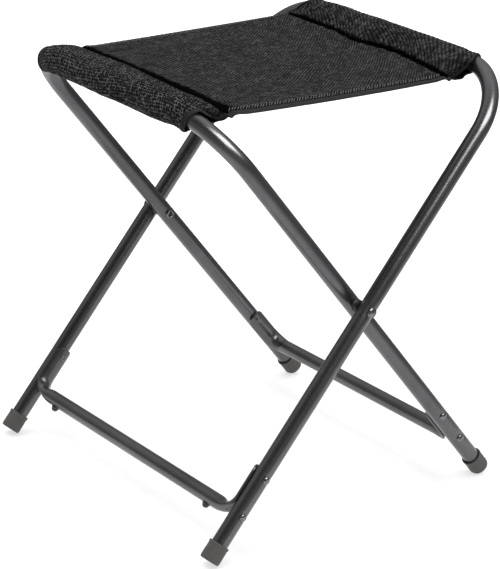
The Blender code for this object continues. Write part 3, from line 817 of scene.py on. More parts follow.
# ------------------------------------------------------------- foot caps
for key, side, half_y, body in (("outer", +1, OUTER_Y, "outer_frame"), ("inner", -1, INNER_Y, "inner_frame")):
    for where, sgn in (("near", -1), ("far", +1)):
        h = CAP_END - CAP_TOP
        prof = rounded([
            (0.0, 0.0030), (TUBE_R + 0.0002, 0.0030), (TUBE_R + 0.0002, h - 0.0003),
            (TUBE_R + 0.0010, h), (CAP_R + 0.0002, h), (CAP_R + 0.0002, h - 0.0022), (CAP_R - 0.0003, h - 0.0034),
            (CAP_R - 0.0001, 0.0030), (CAP_R - 0.0007, 0.0), (0.0, 0.0)], 0.0009, 4)
        m = z_frame(leg_point(side, -CAP_END, sgn * half_y), -down_dir(side))
        v, f = lathe(prof, m, 72)
        v[:, 2] = np.maximum(v[:, 2], 0.0)
        ob = auto_smooth(flat("rubber_foot_%s_%s" % (key, where), v, f, RUBBER_M), 44)
        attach(ob, body)
        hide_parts("foot_cap_%s_%s" % (key, where))

# ------------------------------------------------------------- seat sleeves
OUTLINE = {
    -1: [(41.0, -5.3), (39.3, -2.0), (35.8, 1.8), (29.4, 6.2), (20.3, 10.2), (10.0, 13.0),
         (0.0, 13.2), (-9.0, 10.0), (-13.6, 2.5), (-14.2, -6.5), (-10.2, -15.0),
         (0.5, -18.0), (12.6, -14.6), (22.9, -11.6), (32.4, -9.0), (39.0, -7.6)],
    1: [(41.0, -5.3), (39.3, -2.2), (35.7, 1.4), (29.5, 5.6), (20.2, 9.8), (10.0, 12.5),
        (0.0, 13.0), (-9.0, 10.0), (-13.6, 2.5), (-14.2, -6.5), (-10.2, -15.0),
        (0.5, -18.0), (12.6, -14.6), (22.9, -11.6), (32.4, -9.0), (39.0, -7.6)]}
MOUTHS = {
    -1: [(41.0, -5.3), (39.3, -4.8), (35.7, -4.5), (29.5, -4.0), (20.2, -2.0), (12.5, 4.0),
         (3.0, 10.9), (-7.5, 8.4), (-11.2, 1.8), (-11.8, -5.0), (-8.8, -11.2),
         (-1.0, -13.0), (10.0, -9.5), (20.0, -6.2), (31.0, -6.4), (39.0, -6.5)],
    1: [(41.0, -5.3), (39.3, -4.6), (35.7, -3.6), (29.5, -1.6), (20.2, 2.6), (10.0, 8.0),
        (1.0, 10.8), (-7.2, 8.2), (-10.8, 1.8), (-11.0, -4.0), (-8.0, -9.6),
        (0.0, -11.2), (12.0, -10.6), (22.9, -9.4), (32.4, -8.0), (39.0, -7.0)]}
# how far (mm) each outline point runs out past the square-cut mouth
REACH = {
    -1: [0, 0, 2, 6, 12, 9, 4, 0, 0, 0, 0, 0, 4, 10, 4.5, 0],
    1: [-2, 0, 0, 2, 8, 10, 4.5, 0, -1, 0, -1, -1, 3, 6, 1, 0]}
# which outline points belong to the lower layer
LOWER = [0.3, 0.1, 0, 0, 0, 0, 0, 0, 0, 0, 0.05, 0.25, 0.75, 1.0, 1.0, 0.8]


def catmull(p, k=40):
    """Dense points on a closed smooth curve, k per control point."""
    p = np.asarray(p, float)
    n = len(p)
    t = np.linspace(0, 1, k, endpoint=False)[:, None]
    out = []
    for i in range(n):
        p0, p1, p2, p3 = p[(i - 1) % n], p[i], p[(i + 1) % n], p[(i + 2) % n]
        out.append(0.5 * ((2 * p1) + (-p0 + p2) * t + (2 * p0 - 5 * p1 + 4 * p2 - p3) * t * t
                          + (-p0 + 3 * p1 - 3 * p2 + p3) * t ** 3))
    return np.concatenate(out)


def smooth_loop(points, n, start, others=()):
    """n evenly spaced points on a smooth closed curve, starting near start;
    the others are curves or values sampled at the same control positions."""
    dense = catmull(points)
    m = len(dense)
    i0 = int(np.argmin(np.linalg.norm(dense - np.array(start), axis=1)))
    roll = lambda d: np.vstack([np.roll(d, -i0, axis=0), np.roll(d, -i0, axis=0)[:1]])
    closed = roll(dense)
    seg = np.linalg.norm(np.diff(closed, axis=0), axis=1)
    acc = np.concatenate([[0], np.cumsum(seg)])
    want = np.linspace(0, acc[-1], n, endpoint=False)
    take = lambda c: np.stack([np.interp(want, acc, c[:, j]) for j in range(c.shape[1])], 1)
    res = [take(closed)]
    for o in others:
        o = np.asarray(o, float)
        if o.ndim == 1:
            d = np.interp(np.arange(m) / 40.0, np.arange(len(o) + 1), np.append(o, o[0]))[:, None]
            res.append(take(roll(d))[:, 0])
        else:
            res.append(take(roll(catmull(o))))
    return res, acc[-1]


def cloth_edge(x, sgn):
    """Distance of the seat cloth's near (-1) or far (+1) edge from the middle;
    the cloth is a little narrower at the inner frame's bar."""
    x = np.asarray(x, float)
    t = x / SEAM_X
    if sgn < 0:
        return 0.1520 + 0.0043 * t - 0.0037 * t * t
    return 0.1515 + 0.0030 * t


def wander(side, v):
    """How far the inner seam strays from its straight line, towards the middle;
    on the outer frame's side it is pulled out towards the bar, with a step in it."""
    v = np.asarray(v, float)
    if side < 0:
        return 0.0042 + 0.0055 * v + 0.0012 * np.sin(5.1 * v + 0.6) + 0.0006 * np.sin(13.0 * v)
    w = 0.0040 - 0.0162 * sstep((v + 1.0) / 0.72)
    w = w + 0.0075 * np.exp(-((v - 0.16) / 0.20) ** 2)
    return w - 0.0010 * sstep((v - 0.3) / 0.4) + 0.0007 * np.sin(11.0 * v + 1.0)


def bar_frames(side, v):
    """Centre, inward and upward directions of sections along the sleeve."""
    half_y, r = (OUTER_Y, OUTER_BEND_R) if side > 0 else (INNER_Y, INNER_BEND_R)
    arc = v * SLEEVE_OUTER_ARC if side > 0 else v * SLEEVE_INNER_ARC + SLEEVE_INNER_SHIFT
    straight = half_y - r
    up = -np.array(down_dir(side))
    C, E1, E2 = [], [], []
    for a in arc:
        sg = 1.0 if a >= 0 else -1.0
        if abs(a) <= straight:
            c = np.array(leg_point(side, BAR_RISE, a))
            t = np.array((0.0, 1.0, 0.0))
        else:
            b = (abs(a) - straight) / r
            c = np.array(leg_point(side, BAR_RISE - r * (1 - cos(b)), sg * (straight + r * sin(b))))
            t = np.array((0, 1.0, 0)) * cos(b) - up * (sg * sin(b))
        t /= np.linalg.norm(t)
        e1 = np.array((-side, 0.0, 0.0))
        e1 -= t * e1.dot(t)
        e1 /= np.linalg.norm(e1)
        e2 = np.cross(t, e1)
        if e2[2] < 0:
            e2 = -e2
        C.append(c), E1.append(e1), E2.append(e2)
    return np.array(C), np.array(E1), np.array(E2)


def sleeve_surface(side, v, loop):
    """Grid of points: sections v along the bar, outline points in mm.  At the
    mouths the cloth closes down on the tube and its edge runs out unevenly."""
    mid, end, reach, lower = loop
    C, E1, E2 = bar_frames(side, v)
    m = sstep((np.abs(v) - 0.76) / 0.24)
    if side < 0:
        m = np.maximum(m, 0.12 * sstep((v - 0.30) / 0.35))
    m = m[:, None]
    a = (mid[None, :, 0] * (1 - m) + end[None, :, 0] * m) / 1000.0
    b = (mid[None, :, 1] * (1 - m) + end[None, :, 1] * m) / 1000.0
    P = C[:, None, :] + E1[:, None, :] * a[:, :, None] + E2[:, None, :] * b[:, :, None]
    tip = C + E1 * SLEEVE_REACH - E2 * PANEL_DROP
    edge = np.where(v < 0, cloth_edge(side * SEAM_X, -1), cloth_edge(side * SEAM_X, +1))
    want = np.stack([side * (SEAM_X - wander(side, v)), v * edge, np.full(len(v), Z0)], 1)
    lean = sstep((a - 0.006) / (SLEEVE_REACH - 0.006))
    P = P + (want - tip)[:, None, :] * lean[:, :, None]
    k = sstep((np.abs(v) - 0.70) / 0.30)[:, None]
    P[:, :, 1] += np.sign(v)[:, None] * k * reach[None, :] * 0.001
    return P


def sleeve_loop(side, n):
    return smooth_loop(OUTLINE[side], n, (40.9, -6.3), (MOUTHS[side], REACH[side], LOWER))


def grid_normals(P, wrap_v=True):
    du = np.gradient(P, axis=0)
    if wrap_v:
        dv = (np.roll(P, -1, 1) - np.roll(P, 1, 1)) / 2
    else:
        dv = np.gradient(P, axis=1)
    n = np.cross(du, dv)
    n /= np.maximum(np.linalg.norm(n, axis=2), 1e-12)[:, :, None]
    return n


def outward(P):
    n = grid_normals(P)
    c = P.mean(axis=1, keepdims=True)
    if ((P - c) * n).sum() < 0:
        n = -n
    return n


def cubic_weights(n_out, n_in, wrap):
    """Catmull-Rom weights that resample n_in values to n_out."""
    W = np.zeros((n_out, n_in))
    pos = (np.arange(n_out) * n_in / n_out) if wrap else np.linspace(0, n_in - 1, n_out)
    for i, x in enumerate(pos):
        k = int(np.floor(x))
        t = x - k
        ws = (-0.5 * t + t * t - 0.5 * t ** 3, 1 - 2.5 * t * t + 1.5 * t ** 3,
              0.5 * t + 2 * t * t - 1.5 * t ** 3, -0.5 * t * t + 0.5 * t ** 3)
        for d, wgt in zip((-1, 0, 1, 2), ws):
            j = (k + d) % n_in if wrap else min(max(k + d, 0), n_in - 1)
            W[i, j] += wgt
    return W


def cloth_run(P, pin, faces, frames=20, pressure=4.0, expand=0.0, bend=0.4, gravity=0.0):
    """Runs Blender's cloth on a grid of points and returns the moved points."""
    v = P.reshape(-1, 3)
    ob = flat("cloth_work", v, faces, None)
    vg = ob.vertex_groups.new(name="pin")
    for i, w in enumerate(pin.ravel()):
        if w > 0:
            vg.add([i], float(w), "REPLACE")
    md = ob.modifiers.new("cloth", "CLOTH")
    s = md.settings
    s.quality = 7
    s.mass = 0.28
    s.tension_stiffness = 18
    s.compression_stiffness = 12
    s.shear_stiffness = 6
    s.bending_stiffness = bend
    s.tension_damping = 8
    s.compression_damping = 8
    s.air_damping = 2
    s.effector_weights.gravity = gravity
    s.vertex_group_mass = "pin"
    s.shrink_min = -expand
    if pressure:
        s.use_pressure = True
        s.uniform_pressure_force = pressure
    md.collision_settings.use_collision = False
    md.collision_settings.use_self_collision = False
    md.point_cache.frame_start = 1
    md.point_cache.frame_end = frames
    for f in range(1, frames + 1):
        scene.frame_set(f)
    dg = bpy.context.evaluated_depsgraph_get()
    ev = ob.evaluated_get(dg)
    me = ev.to_mesh()
    co = np.zeros(len(me.vertices) * 3, np.float32)
    me.vertices.foreach_get("co", co)
    ev.to_mesh_clear()
    data = ob.data
    bpy.data.objects.remove(ob, do_unlink=True)
    bpy.data.meshes.remove(data)
    scene.frame_set(1)
    return co.reshape(P.shape).astype(float)


def fbm(points, scale, seed, octaves=3):
    off = Vector((seed * 7.3, seed * 3.1, seed * 1.7))
    out = np.empty(len(points))
    for i, p in enumerate(points):
        out[i] = noise.fractal(Vector(p) * scale + off, 1.0, 2.0, octaves)
    return out


def strayed(cx, cy, seed, amount=1.5, scale=0.035, bow=0.0):
    """Cloth coordinates (mm) with the yarns straying a little from straight and
    the rows bowed across the cloth."""
    shape = cx.shape
    q = np.stack([cx.ravel(), cy.ravel(), np.zeros(cx.size)], 1)
    dx = fbm(q, scale, seed, 2).reshape(shape)
    dy = fbm(q, scale, seed + 4.7, 2).reshape(shape)
    return cx + amount * dx, cy + amount * dy - bow * cx * cx


def ribs(x, y, pitch, angle):
    """Height 0..1 of the rows of loops, lengths in mm."""
    return 0.5 + 0.5 * np.cos((y * cos(angle) - x * sin(angle)) * 2 * pi / pitch)


def make_sleeve(side, key):
    half_arc = SLEEVE_OUTER_ARC if side > 0 else SLEEVE_INNER_ARC
    nu = int(2 * half_arc * 1000 / 0.98)
    nw = 148
    loop, girth = sleeve_loop(side, nw)
    ab = loop[0]
    v = np.linspace(-1, 1, nu)
    # a slightly slack start, then the cloth is blown against its stitching
    nuc, nwc = int(2 * half_arc * 1000 / 4.2), 37
    loop_c, _ = sleeve_loop(side, nwc)
    abc = loop_c[0]
    vc = np.linspace(-1, 1, nuc)
    Pc = sleeve_surface(side, vc, loop_c)
    Nc = outward(Pc)
    seam_c = np.clip((abc[:, 0] - 35.0) / 5.0, 0, 1)[None, :] * np.ones((nuc, 1))
    mouth_c = np.clip((np.abs(vc) - 0.90) / 0.08, 0, 1)[:, None] * np.ones((1, nwc))
    hold = np.maximum(seam_c, mouth_c)
    slack = 0.0016 * (1 - hold)
    Pc0 = Pc - Nc * slack[:, :, None]
    moved = cloth_run(Pc0, np.where(hold > 0.5, 1.0, hold * 0.6), quads(nuc, nwc, True),
                      frames=20, pressure=4.0, expand=0.02, bend=0.25)
    D = moved - Pc0
    ln = np.linalg.norm(D, axis=2)
    out = (D * Nc).sum(2)
    slide = D - Nc * out[:, :, None]
    far = np.linalg.norm(slide, axis=2)
    slide *= np.minimum(1.0, 0.0015 / np.maximum(far, 1e-9))[:, :, None]
    # it neither sinks into the padding nor balloons
    out = np.clip(out, 0.5 * slack, slack + 0.0005)
    for _ in range(3):
        out[1:-1] = (out[:-2] + 2 * out[1:-1] + out[2:]) / 4
        slide[1:-1] = (slide[:-2] + 2 * slide[1:-1] + slide[2:]) / 4
    D = Nc * out[:, :, None] + slide
    print("sleeve", key, "cloth moved mm mean", round(float(ln.mean() * 1000), 2), "max", round(float(ln.max() * 1000), 2))
    P = sleeve_surface(side, v, loop)
    Nf = outward(P)
    seam = np.clip((ab[:, 0] - 35.0) / 5.0, 0, 1)[None, :] * np.ones((nu, 1))
    mouth = np.clip((np.abs(v) - 0.90) / 0.08, 0, 1)[:, None] * np.ones((1, nw))
    slack_f = 0.0016 * (1 - np.maximum(seam, mouth))
    Wu, Ww = cubic_weights(nu, nuc, False), cubic_weights(nw, nwc, True)
    Df = np.einsum("ui,wj,ijk->uwk", Wu, Ww, D)
    P = P - Nf * slack_f[:, :, None] + Df
    # low lumps of the padding
    Nf = outward(P)
    lump = fbm(P.reshape(-1, 3), 26.0, 3 if side > 0 else 9, 3).reshape(nu, nw)
    P = P + Nf * (lump * 0.0008 * (1 - 0.6 * seam) * (1 - 0.7 * mouth))[:, :, None]
    # cloth coordinates in mm, running on from the seat panel
    step = np.linalg.norm(np.diff(P, axis=0), axis=2) * 1000
    along = np.concatenate([np.zeros((1, nw)), np.cumsum(step, axis=0)])
    along -= along[nu // 2][None, :]
    across = (np.arange(nw) * girth / nw)[None, :] * np.ones((nu, 1))
    if side < 0:
        cx, cy = strayed(-(SEAM_X * 1000 + across), along, 1.0, 4.5, 0.012)
    else:
        cx, cy = strayed(SEAM_X * 1000 + across, along, 3.0)
    knit = KNIT[side]
    Nf = outward(P)
    edge_mm = np.minimum(along - along[:1], along[-1:] - along)
    P = P + Nf * ((ribs(cx, cy, knit[0], knit[1]) - 0.5) * 0.00034 * np.clip((edge_mm - 4.0) / 2.0, 0, 1))[:, :, None]
    # the flat tails of the mouths are crumpled
    tail = sstep((np.abs(v) - 0.84) / 0.12)[:, None] * sstep((ab[:, 0] - 12.0) / 8.0)[None, :] \
        * (1 - sstep((ab[:, 0] - 36.0) / 4.0))[None, :]
    crumple = fbm(P.reshape(-1, 3), 95.0, 6, 3).reshape(nu, nw)
    P = P + outward(P) * (crumple * 0.0012 * tail)[:, :, None]
    # painted shade in the shade attribute: dark down in the crease, on the lower layer at the mouths, and on the flat
    # tails at the near end
    d_tip = np.minimum(across, girth - across)
    ragged = fbm(P.reshape(-1, 3), 420.0, 5, 2).reshape(nu, nw)
    shade = np.clip((d_tip - (1.7 if side < 0 else 3.2) + 2.0 * ragged) / 2.8, 0.02, 1.0)
    under = loop[3][None, :] * sstep((np.abs(v) - 0.84) / 0.10)[:, None]
    shade = shade * (1 - 0.80 * np.clip(under, 0, 1))
    # painted shade: the flat tails at the near end are darkened, a little more on the left sleeve
    dim = 0.80 if side < 0 else 0.75
    near = sstep((-v - (0.84 if side < 0 else 0.88)) / 0.09)[:, None] * sstep((ab[:, 0] - 12.0) / 8.0)[None, :]
    shade = shade * (1 - dim * near)
    inner = P - outward(P) * 0.0013
    vts, fcs = hollow(P, inner)
    cloth = np.stack([cx, cy, shade], -1).reshape(-1, 3)
    cloth = np.concatenate([cloth, cloth])
    ob = flat("seat_sleeve_cover_" + key, vts, fcs, SLEEVE_M[side], attrs={"cloth": cloth})
    return ob, P, ab


# ------------------------------------------------------------- seat panel
def panel_z(x, y):
    """Height of the seat cloth in metres at x, y."""
    x = np.asarray(x, float)
    y = np.asarray(y, float)
    inner = 1 - sstep((np.abs(y) - 0.105) / 0.035)
    z = Z0 + 0.0006 * (x / 0.14) ** 2
    z = z - 0.0011 * inner * np.exp(-((x - 0.02) / 0.075) ** 2 - ((y + 0.01) / 0.11) ** 2)
    z = z + inner * (0.0006 * np.sin(x * 38 + y * 22 + 0.6) + 0.0005 * np.sin(y * 47 - x * 19 + 2.0))
    z = z + inner * 0.0003 * np.sin(x * 91 - y * 33)
    # puckers running out from the stitched side seams
    for side in (-1, 1):
        d = (side * (SEAM_X - wander(side, y / 0.15)) - x) * side
        fade = np.exp(-np.clip(d, 0, None) / 0.020)
        z = z + fade * 0.0007 * np.sin(y * 360 + 2.2 * np.sin(y * 61)) * (0.3 + 0.7 * inner)
        z = z + 0.0010 * np.exp(-((d - 0.011) / 0.006) ** 2)
        z = z - 0.0020 * np.exp(-((d - 0.0030) / 0.0025) ** 2)
        z = z - 0.0010 * np.clip(-d / 0.003, 0, 1)
    return z


def seam_at(side, y):
    """Distance from the middle to a side seam, at a height y on the cloth."""
    return SEAM_X - wander(side, np.asarray(y, float) / 0.15)


TUCK = 0.0050


def make_panel():
    nx, ny = 296, 306
    y = np.linspace(-1, 1, ny)
    X = np.zeros((nx, ny))
    Y = np.zeros((nx, ny))
    t = np.linspace(0, 1, nx)
    for j, q in enumerate(y):
        sgn = -1 if q < 0 else 1
        for _ in range(2):
            yl = q * (float(cloth_edge(-SEAM_X, sgn)) - 0.0027)
            yr = q * (float(cloth_edge(SEAM_X, sgn)) - 0.0027)
        xl, xr = -float(seam_at(-1, yl)) - TUCK, float(seam_at(1, yr)) + TUCK
        X[:, j] = xl + (xr - xl) * t
        Y[:, j] = q * (cloth_edge(X[:, j], sgn) - 0.0027)
    P = np.stack([X, Y, panel_z(X, Y)], -1)
    cx, cy = strayed(X * 1000, Y * 1000, 5.0, bow=0.0011)
    P[:, :, 2] += (ribs(cx, cy, RIB_SEAT, RIB_ANGLE) - 0.5) * 0.00026
    dl = (X - X[:1] - TUCK) * 1000
    dr = (X[-1:] - X - TUCK) * 1000
    ragged = fbm(P.reshape(-1, 3), 380.0, 7, 2).reshape(nx, ny)
    # painted shade: the roll on the left throws a wide dark crease, the right one a narrow one
    wide = 12.8 + 5.4 * sstep((0.06 - Y) / 0.20)
    shade = np.minimum(np.clip((dl + 3.4 * ragged - wide) / 5.0, 0.02, 1.0),
                       np.clip((dr + 1.8 * ragged - 2.0) / 2.6, 0.02, 1.0))
    # painted shade: a darker band under the near stitching and a dark line at the hem's inner edge
    inset = (cloth_edge(X, -1) - HEM_W + Y) * 1000
    shade = shade * (1 - 0.55 * sstep((12.0 - inset) / 1.5) * (Y < 0)) * (1 - 0.8 * sstep((1.2 - inset) / 0.8) * (Y < 0))
    faces = quads(nx, ny, False)
    ob = flat("seat_cloth", P.reshape(-1, 3), faces, SEAT_M, attrs={"cloth": np.stack([cx, cy, shade], -1).reshape(-1, 3)})
    if ob.data.polygons[0].normal.z < 0:
        ob.data.flip_normals()
    return ob


panel = make_panel()
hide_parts("seat_panel_left", "seat_panel_right")
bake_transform(panel)


# ------------------------------------------------------------- hems
def make_hem(where, sgn):
    """The folded edge of the seat cloth, bound with tape."""
    nx = 280
    y_l, y_r = sgn * float(cloth_edge(-SEAM_X, sgn)), sgn * float(cloth_edge(SEAM_X, sgn))
    x0 = -float(seam_at(-1, y_l)) - 0.0060
    x1 = float(seam_at(1, y_r)) + 0.0050
    xs = np.linspace(x0, x1, nx)
    low = 0.0002 if sgn < 0 else 0.0017
    # section: a soft-cornered fold, rolled a little at its outer edge
    sec = []
    n = 28
    for k in range(n):
        t = 2 * pi * k / n
        c, s = cos(t), sin(t)
        px = abs(c) ** 0.62 * (1 if c > 0 else -1)
        pz = abs(s) ** 0.80 * (1 if s > 0 else -1)
        sec.append((0.5 + 0.5 * px, pz))
    rings, cl = [], []
    for i, x in enumerate(xs):
        y_out = float(cloth_edge(x, sgn))
        y_in = y_out - (HEM_W + 0.0004) * (1 - 0.38 * float(sstep((x - 0.02) / 0.13)))
        zc = float(panel_z(x, sgn * (y_in + 0.001))) - low
        roll = 0.00022 * sin(x * 210 + 1.0) + 0.0002 * sin(x * 77)
        ring = []
        for j, (py, pz) in enumerate(sec):
            yy = y_in + (y_out - y_in) * py
            th = 0.00095 + 0.00045 * py
            ring.append((x, sgn * (yy + roll * py), zc + pz * th - 0.0006 * py * py + roll * 0.5))
            # painted shade: the far hem's tape is darkened to 0.35, the near one kept at 0.9
            cl.append((x * 1000, j * 0.62, 0.9 if sgn < 0 else 0.35))
        rings.append(ring)
    rings = np.array(rings)
    v, f = capped(rings)
    cl += [(xs[0] * 1000, 0, 1), (xs[-1] * 1000, 0, 1)]
    ob = auto_smooth(flat("seat_hem_" + where, v, f, TAPE_M, attrs={"cloth": np.array(cl)}), 60)
    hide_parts("seat_hem_%s_left" % where, "seat_hem_%s_right" % where)
    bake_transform(ob)
    return ob


hems = [make_hem("near", -1), make_hem("far", +1)]


# ------------------------------------------------------------- stitches
def capsule(p, q, r, up, n=8, sag=0.0):
    """A short thread from p to q, arched along up."""
    p, q, up = np.array(p, float), np.array(q, float), np.array(up, float)
    d = q - p
    ln = np.linalg.norm(d)
    d /= ln
    side_ = np.cross(d, up)
    side_ /= np.linalg.norm(side_)
    rings = []
    for t, k in ((0.0, 0.35), (0.10, 0.80), (0.3, 1.0), (0.5, 1.05), (0.7, 1.0), (0.90, 0.80), (1.0, 0.35)):
        c = p + d * ln * t + up * (4 * t * (1 - t)) * sag
        rings.append([c + (side_ * cos(2 * pi * i / n) + up * sin(2 * pi * i / n)) * r * k for i in range(n)])
    return capped(np.array(rings))


def make_stitches(where, sgn):
    """Slanting overlock threads along the inner edge of the hem."""
    parts = []
    pitch = 0.0033
    y_l, y_r = sgn * float(cloth_edge(-SEAM_X, sgn)), sgn * float(cloth_edge(SEAM_X, sgn))
    x = -float(seam_at(-1, y_l)) + 0.006
    x1 = float(seam_at(1, y_r)) - 0.010
    r = 0.00046 if sgn < 0 else 0.00030
    wide = 0.0105 if sgn < 0 else 0.0050
    k = 0
    while x < x1:
        e = float(cloth_edge(x, sgn)) - HEM_W * (1 - 0.38 * float(sstep((x - 0.02) / 0.13)))
        jog = 0.0004 * sin(k * 2.4)
        xa, xb = x + jog, x + 0.80 * wide + jog
        y_a, y_b = e - 0.0006, e - wide
        za = float(panel_z(xa, sgn * y_a)) + 0.0010
        zb = float(panel_z(xb, sgn * y_b)) + 0.0006
        mid = ((xa + xb) / 2 + 0.0005, sgn * (y_a + y_b) / 2, (za + zb) / 2 + 0.0003)
        parts.append(capsule((xa, sgn * y_a, za), mid, r, (0, 0, 1), 8, 0.0002))
        parts.append(capsule(mid, (xb, sgn * y_b, zb), r, (0, 0, 1), 8, 0.0002))
        x += pitch
        k += 1
    v, f = join_parts(parts)
    ob = flat("seat_stitching_" + where, v, f, THREAD_M)
    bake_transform(ob)
    return ob


stitches = [make_stitches("near", -1), make_stitches("far", +1)]


# ------------------------------------------------------------- mouth bindings
def make_bindings(key, P, ab, width):
    """Smooth turned-in edging round both mouths of a sleeve."""
    nrm = outward(P)
    nu, nw = P.shape[:2]
    parts, cl = [], []
    for end in (0, 1):
        rows = list(range(0, 6)) if end == 0 else list(range(nu - 1, nu - 7, -1))
        base = P[rows].copy()
        nn = nrm[rows]
        # even out the knit under the edging
        for _ in range(3):
            base = (np.roll(base, 1, 1) + base * 2 + np.roll(base, -1, 1)) / 4
            nn = (np.roll(nn, 1, 1) + nn * 2 + np.roll(nn, -1, 1)) / 4
        nn = nn / np.linalg.norm(nn, axis=2)[:, :, None]
        axis = base[0] - base[3]
        axis /= np.maximum(np.linalg.norm(axis, axis=1), 1e-9)[:, None]
        back = -axis
        root = base[0]
        # section from the inner lip, round the edge, to the outer lip
        loops = []
        for along, lift in ((4.2, -1.2), (2.2, -1.4), (0.3, -1.3), (-0.5, -1.1), (-0.6, -0.1), (-0.1, 0.55),
                            (1.2, 0.80), (2.8, 0.85), (4.2, 0.70), (4.9, 0.30), (5.0, -0.4), (4.9, -1.3)):
            loops.append(root + back * (along * width / 1000) + nn[0] * (lift / 1000))
        g = np.array(loops)
        v = g.reshape(-1, 3)
        f = facing_out(v, quads(len(loops), nw, True, wrap_u=True))
        parts.append((v, f))
        # painted shade: the edging darkens towards the flat tail of the mouth
        for a in range(len(loops)):
            for b in range(nw):
                cl.append((a * 0.9, b * 1.0, float(1.0 - 0.70 * sstep((ab[b, 0] - 9.0) / 9.0))))
    v, f = join_parts(parts)
    ob = auto_smooth(flat("sleeve_edging_" + key, v, f, TAPE_M, attrs={"cloth": np.array(cl)}), 70)
    return ob


# ------------------------------------------------------------- foam pads
PAD = [(31.0, -3.8), (26.0, 0.2), (18.5, 4.4), (11.0, 7.0), (9.6, 5.8), (10.6, 3.0),
       (11.0, -1.5), (10.2, -5.2), (12.4, -9.2), (21.0, -7.6), (29.0, -5.8)]


def make_pad(side, key):
    loop, _ = smooth_loop(PAD, 44, (31.0, -3.8), (PAD, [0.0] * 11, [0.0] * 11))
    v = np.linspace(-0.80, 0.80, 90)
    P = sleeve_surface(side, v, loop)
    c = P.mean(axis=1, keepdims=True)
    end = 1 - 0.35 * sstep((np.abs(v) - 0.74) / 0.06)
    P = c + (P - c) * end[:, None, None]
    vts, fcs = capped(P)
    ob = auto_smooth(flat("sleeve_foam_" + key, vts, fcs, FOAM_M), 60)
    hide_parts("foam_pad_" + key)
    return ob


for key, side in (("left", -1), ("right", +1)):
    cover, P, ab = make_sleeve(side, key)
    edging = make_bindings(key, P, ab, 0.9 if side < 0 else 0.5)
    pad = make_pad(side, key)
    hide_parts("seat_sleeve_" + key)
    for ob in (cover, edging, pad):
        if side < 0:
            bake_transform(ob)
        else:
            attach(ob, "seat_right")


# ------------------------------------------------------------- floor, world, lights
def make_floor():
    n = 2
    s = 9.0
    v = [(-s, -s, -0.0006), (s, -s, -0.0006), (s, s, -0.0006), (-s, s, -0.0006)]
    m, nt, b = tree("floor_white")
    g = N(nt)
    o = g.obj()
    n1 = g.noise(o, 2.2, 4.0, 0.5)
    n2 = g.noise(o, 380.0, 2.0, 0.5)
    g.put(b.inputs["Base Color"], g.ramp(n1, [(0.3, (0.47, 0.47, 0.47)), (0.7, (0.50, 0.50, 0.50))]))
    g.put(b.inputs["Roughness"], g.remap(n2, 0.3, 0.7, 0.78, 0.86))
    b.inputs["Specular IOR Level"].default_value = 0.2
    s = g.sep(o)
    r = g.math("SQRT", g.math("ADD", g.math("MULTIPLY", s[0], s[0]), g.math("MULTIPLY", s[1], s[1])))
    b.inputs["Emission Color"].default_value = (1, 1, 1, 1)
    g.put(b.inputs["Emission Strength"], g.remap(r, 0.35, 2.6, 0.62, 0.84))
    ob = flat("floor", v, [(0, 1, 2, 3)], m, smooth=False)
    return ob


make_floor()


def make_surround():
    """The white sweep ends a little way out; past it the studio floor is dark.
    Only reflections see this ring."""
    radii = [0.44, 0.54, 0.66, 0.80, 1.0, 1.3, 2.0, 5.0]
    n = 96
    rings = [(r, 0.0004) for r in radii] + [(5.1, 0.4), (5.1, 1.2), (5.1, 2.0)]
    v = [(r * cos(2 * pi * k / n), r * sin(2 * pi * k / n), z) for r, z in rings for k in range(n)]
    f = quads(len(rings), n, True)
    m, nt, b = tree("studio_surround")
    g = N(nt)
    o = g.obj()
    s = g.sep(o)
    r = g.math("SQRT", g.math("ADD", g.math("MULTIPLY", s[0], s[0]), g.math("MULTIPLY", s[1], s[1])))
    r = g.math("ADD", r, g.math("MULTIPLY", g.math("SUBTRACT", g.noise(o, 6.0, 3.0, 0.6), 0.5), 0.10))
    g.put(b.inputs["Base Color"], g.ramp(g.remap(r, 0.50, 1.25, 0.0, 1.0),
                                         [(0.0, (0.86, 0.86, 0.86)), (0.45, (0.50, 0.50, 0.50)), (1.0, (0.22, 0.22, 0.22))]))
    b.inputs["Roughness"].default_value = 0.9
    b.inputs["Specular IOR Level"].default_value = 0.1
    ob = flat("studio_surround", v, f, m, smooth=False)
    ob.visible_camera = False
    ob.visible_diffuse = False
    ob.visible_shadow = False
    return ob


make_surround()


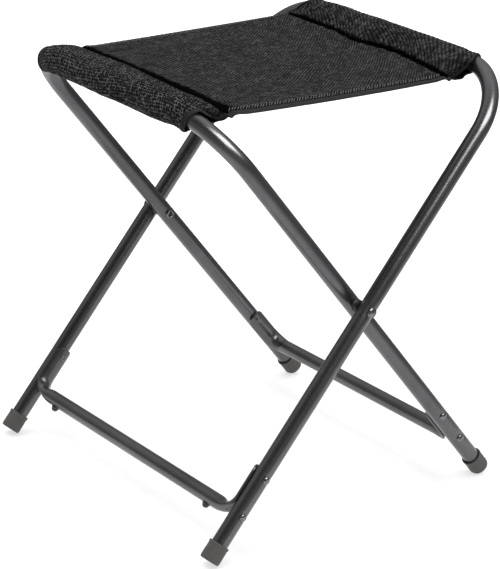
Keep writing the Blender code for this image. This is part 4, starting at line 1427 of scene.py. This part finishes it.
def make_world():
    w = bpy.data.worlds.new("studio")
    scene.world = w
    w.use_nodes = True
    nt = w.node_tree
    for n in list(nt.nodes):
        nt.nodes.remove(n)
    g = N(nt)
    out = g.node("ShaderNodeOutputWorld")
    bg = g.node("ShaderNodeBackground")
    nt.links.new(bg.outputs[0], out.inputs[0])
    d = g.node("ShaderNodeTexCoord").outputs["Generated"]
    nv = g.node("ShaderNodeVectorMath", operation="NORMALIZE")
    nt.links.new(d, nv.inputs[0])
    s = g.sep(nv.outputs[0])
    sky = g.ramp(g.remap(s[2], -0.1, 1.0, 0.0, 1.0),
                 [(0.0, (1.05, 1.05, 1.05)), (0.20, (1.0, 1.0, 1.0)), (0.34, (0.50, 0.50, 0.50)), (0.55, (0.50, 0.50, 0.50)),
                  (0.95, (1.15, 1.15, 1.15))])
    # the unlit side of the room
    dot = g.node("ShaderNodeVectorMath", operation="DOT_PRODUCT")
    nt.links.new(nv.outputs[0], dot.inputs[0])
    q = Vector((-0.62, -0.52, 0.58)).normalized()
    dot.inputs[1].default_value = q
    lobe = g.remap(dot.outputs["Value"], 0.45, 0.92, 0.0, 1.0)
    col = g.mix(lobe, sky, (0.03, 0.03, 0.03, 1))
    g.put(bg.inputs["Color"], col)
    bg.inputs["Strength"].default_value = 0.9


make_world()


def area(name, loc, target, sx, sy, radiance, glossy=True, diffuse=True, color=(1, 1, 1)):
    ld = bpy.data.lights.new(name, "AREA")
    ld.shape = "RECTANGLE"
    ld.size, ld.size_y = sx, sy
    ld.energy = radiance * pi * sx * sy
    ld.color = color
    ob = bpy.data.objects.new(name, ld)
    scene.collection.objects.link(ob)
    ob.location = loc
    ob.rotation_euler = (Vector(target) - Vector(loc)).to_track_quat("-Z", "Y").to_euler()
    ob.visible_camera = False
    ob.visible_glossy = glossy
    ob.visible_diffuse = diffuse
    return ob


# a near softbox for the highlights, a big soft overhead panel, a front and a back fill
area("softbox", (0.13, -0.88, 1.12), (0.02, 0.0, 0.42), 0.90, 0.64, 9.0, diffuse=False)
area("overhead", (-0.2, 0.1, 3.2), (0.0, 0.0, 0.0), 4.2, 4.2, 2.6, glossy=False)
area("front", (-0.9, -2.6, 1.5), (0.0, 0.0, 0.3), 1.8, 1.8, 1.3, glossy=False)
area("fill", (1.2, 2.6, 1.9), (0.0, 0.0, 0.2), 2.0, 2.0, 1.2, glossy=False)

scene.view_settings.view_transform = "Standard"
scene.view_settings.look = "None"
scene.view_settings.exposure = 0.0
scene.view_settings.gamma = 1.0
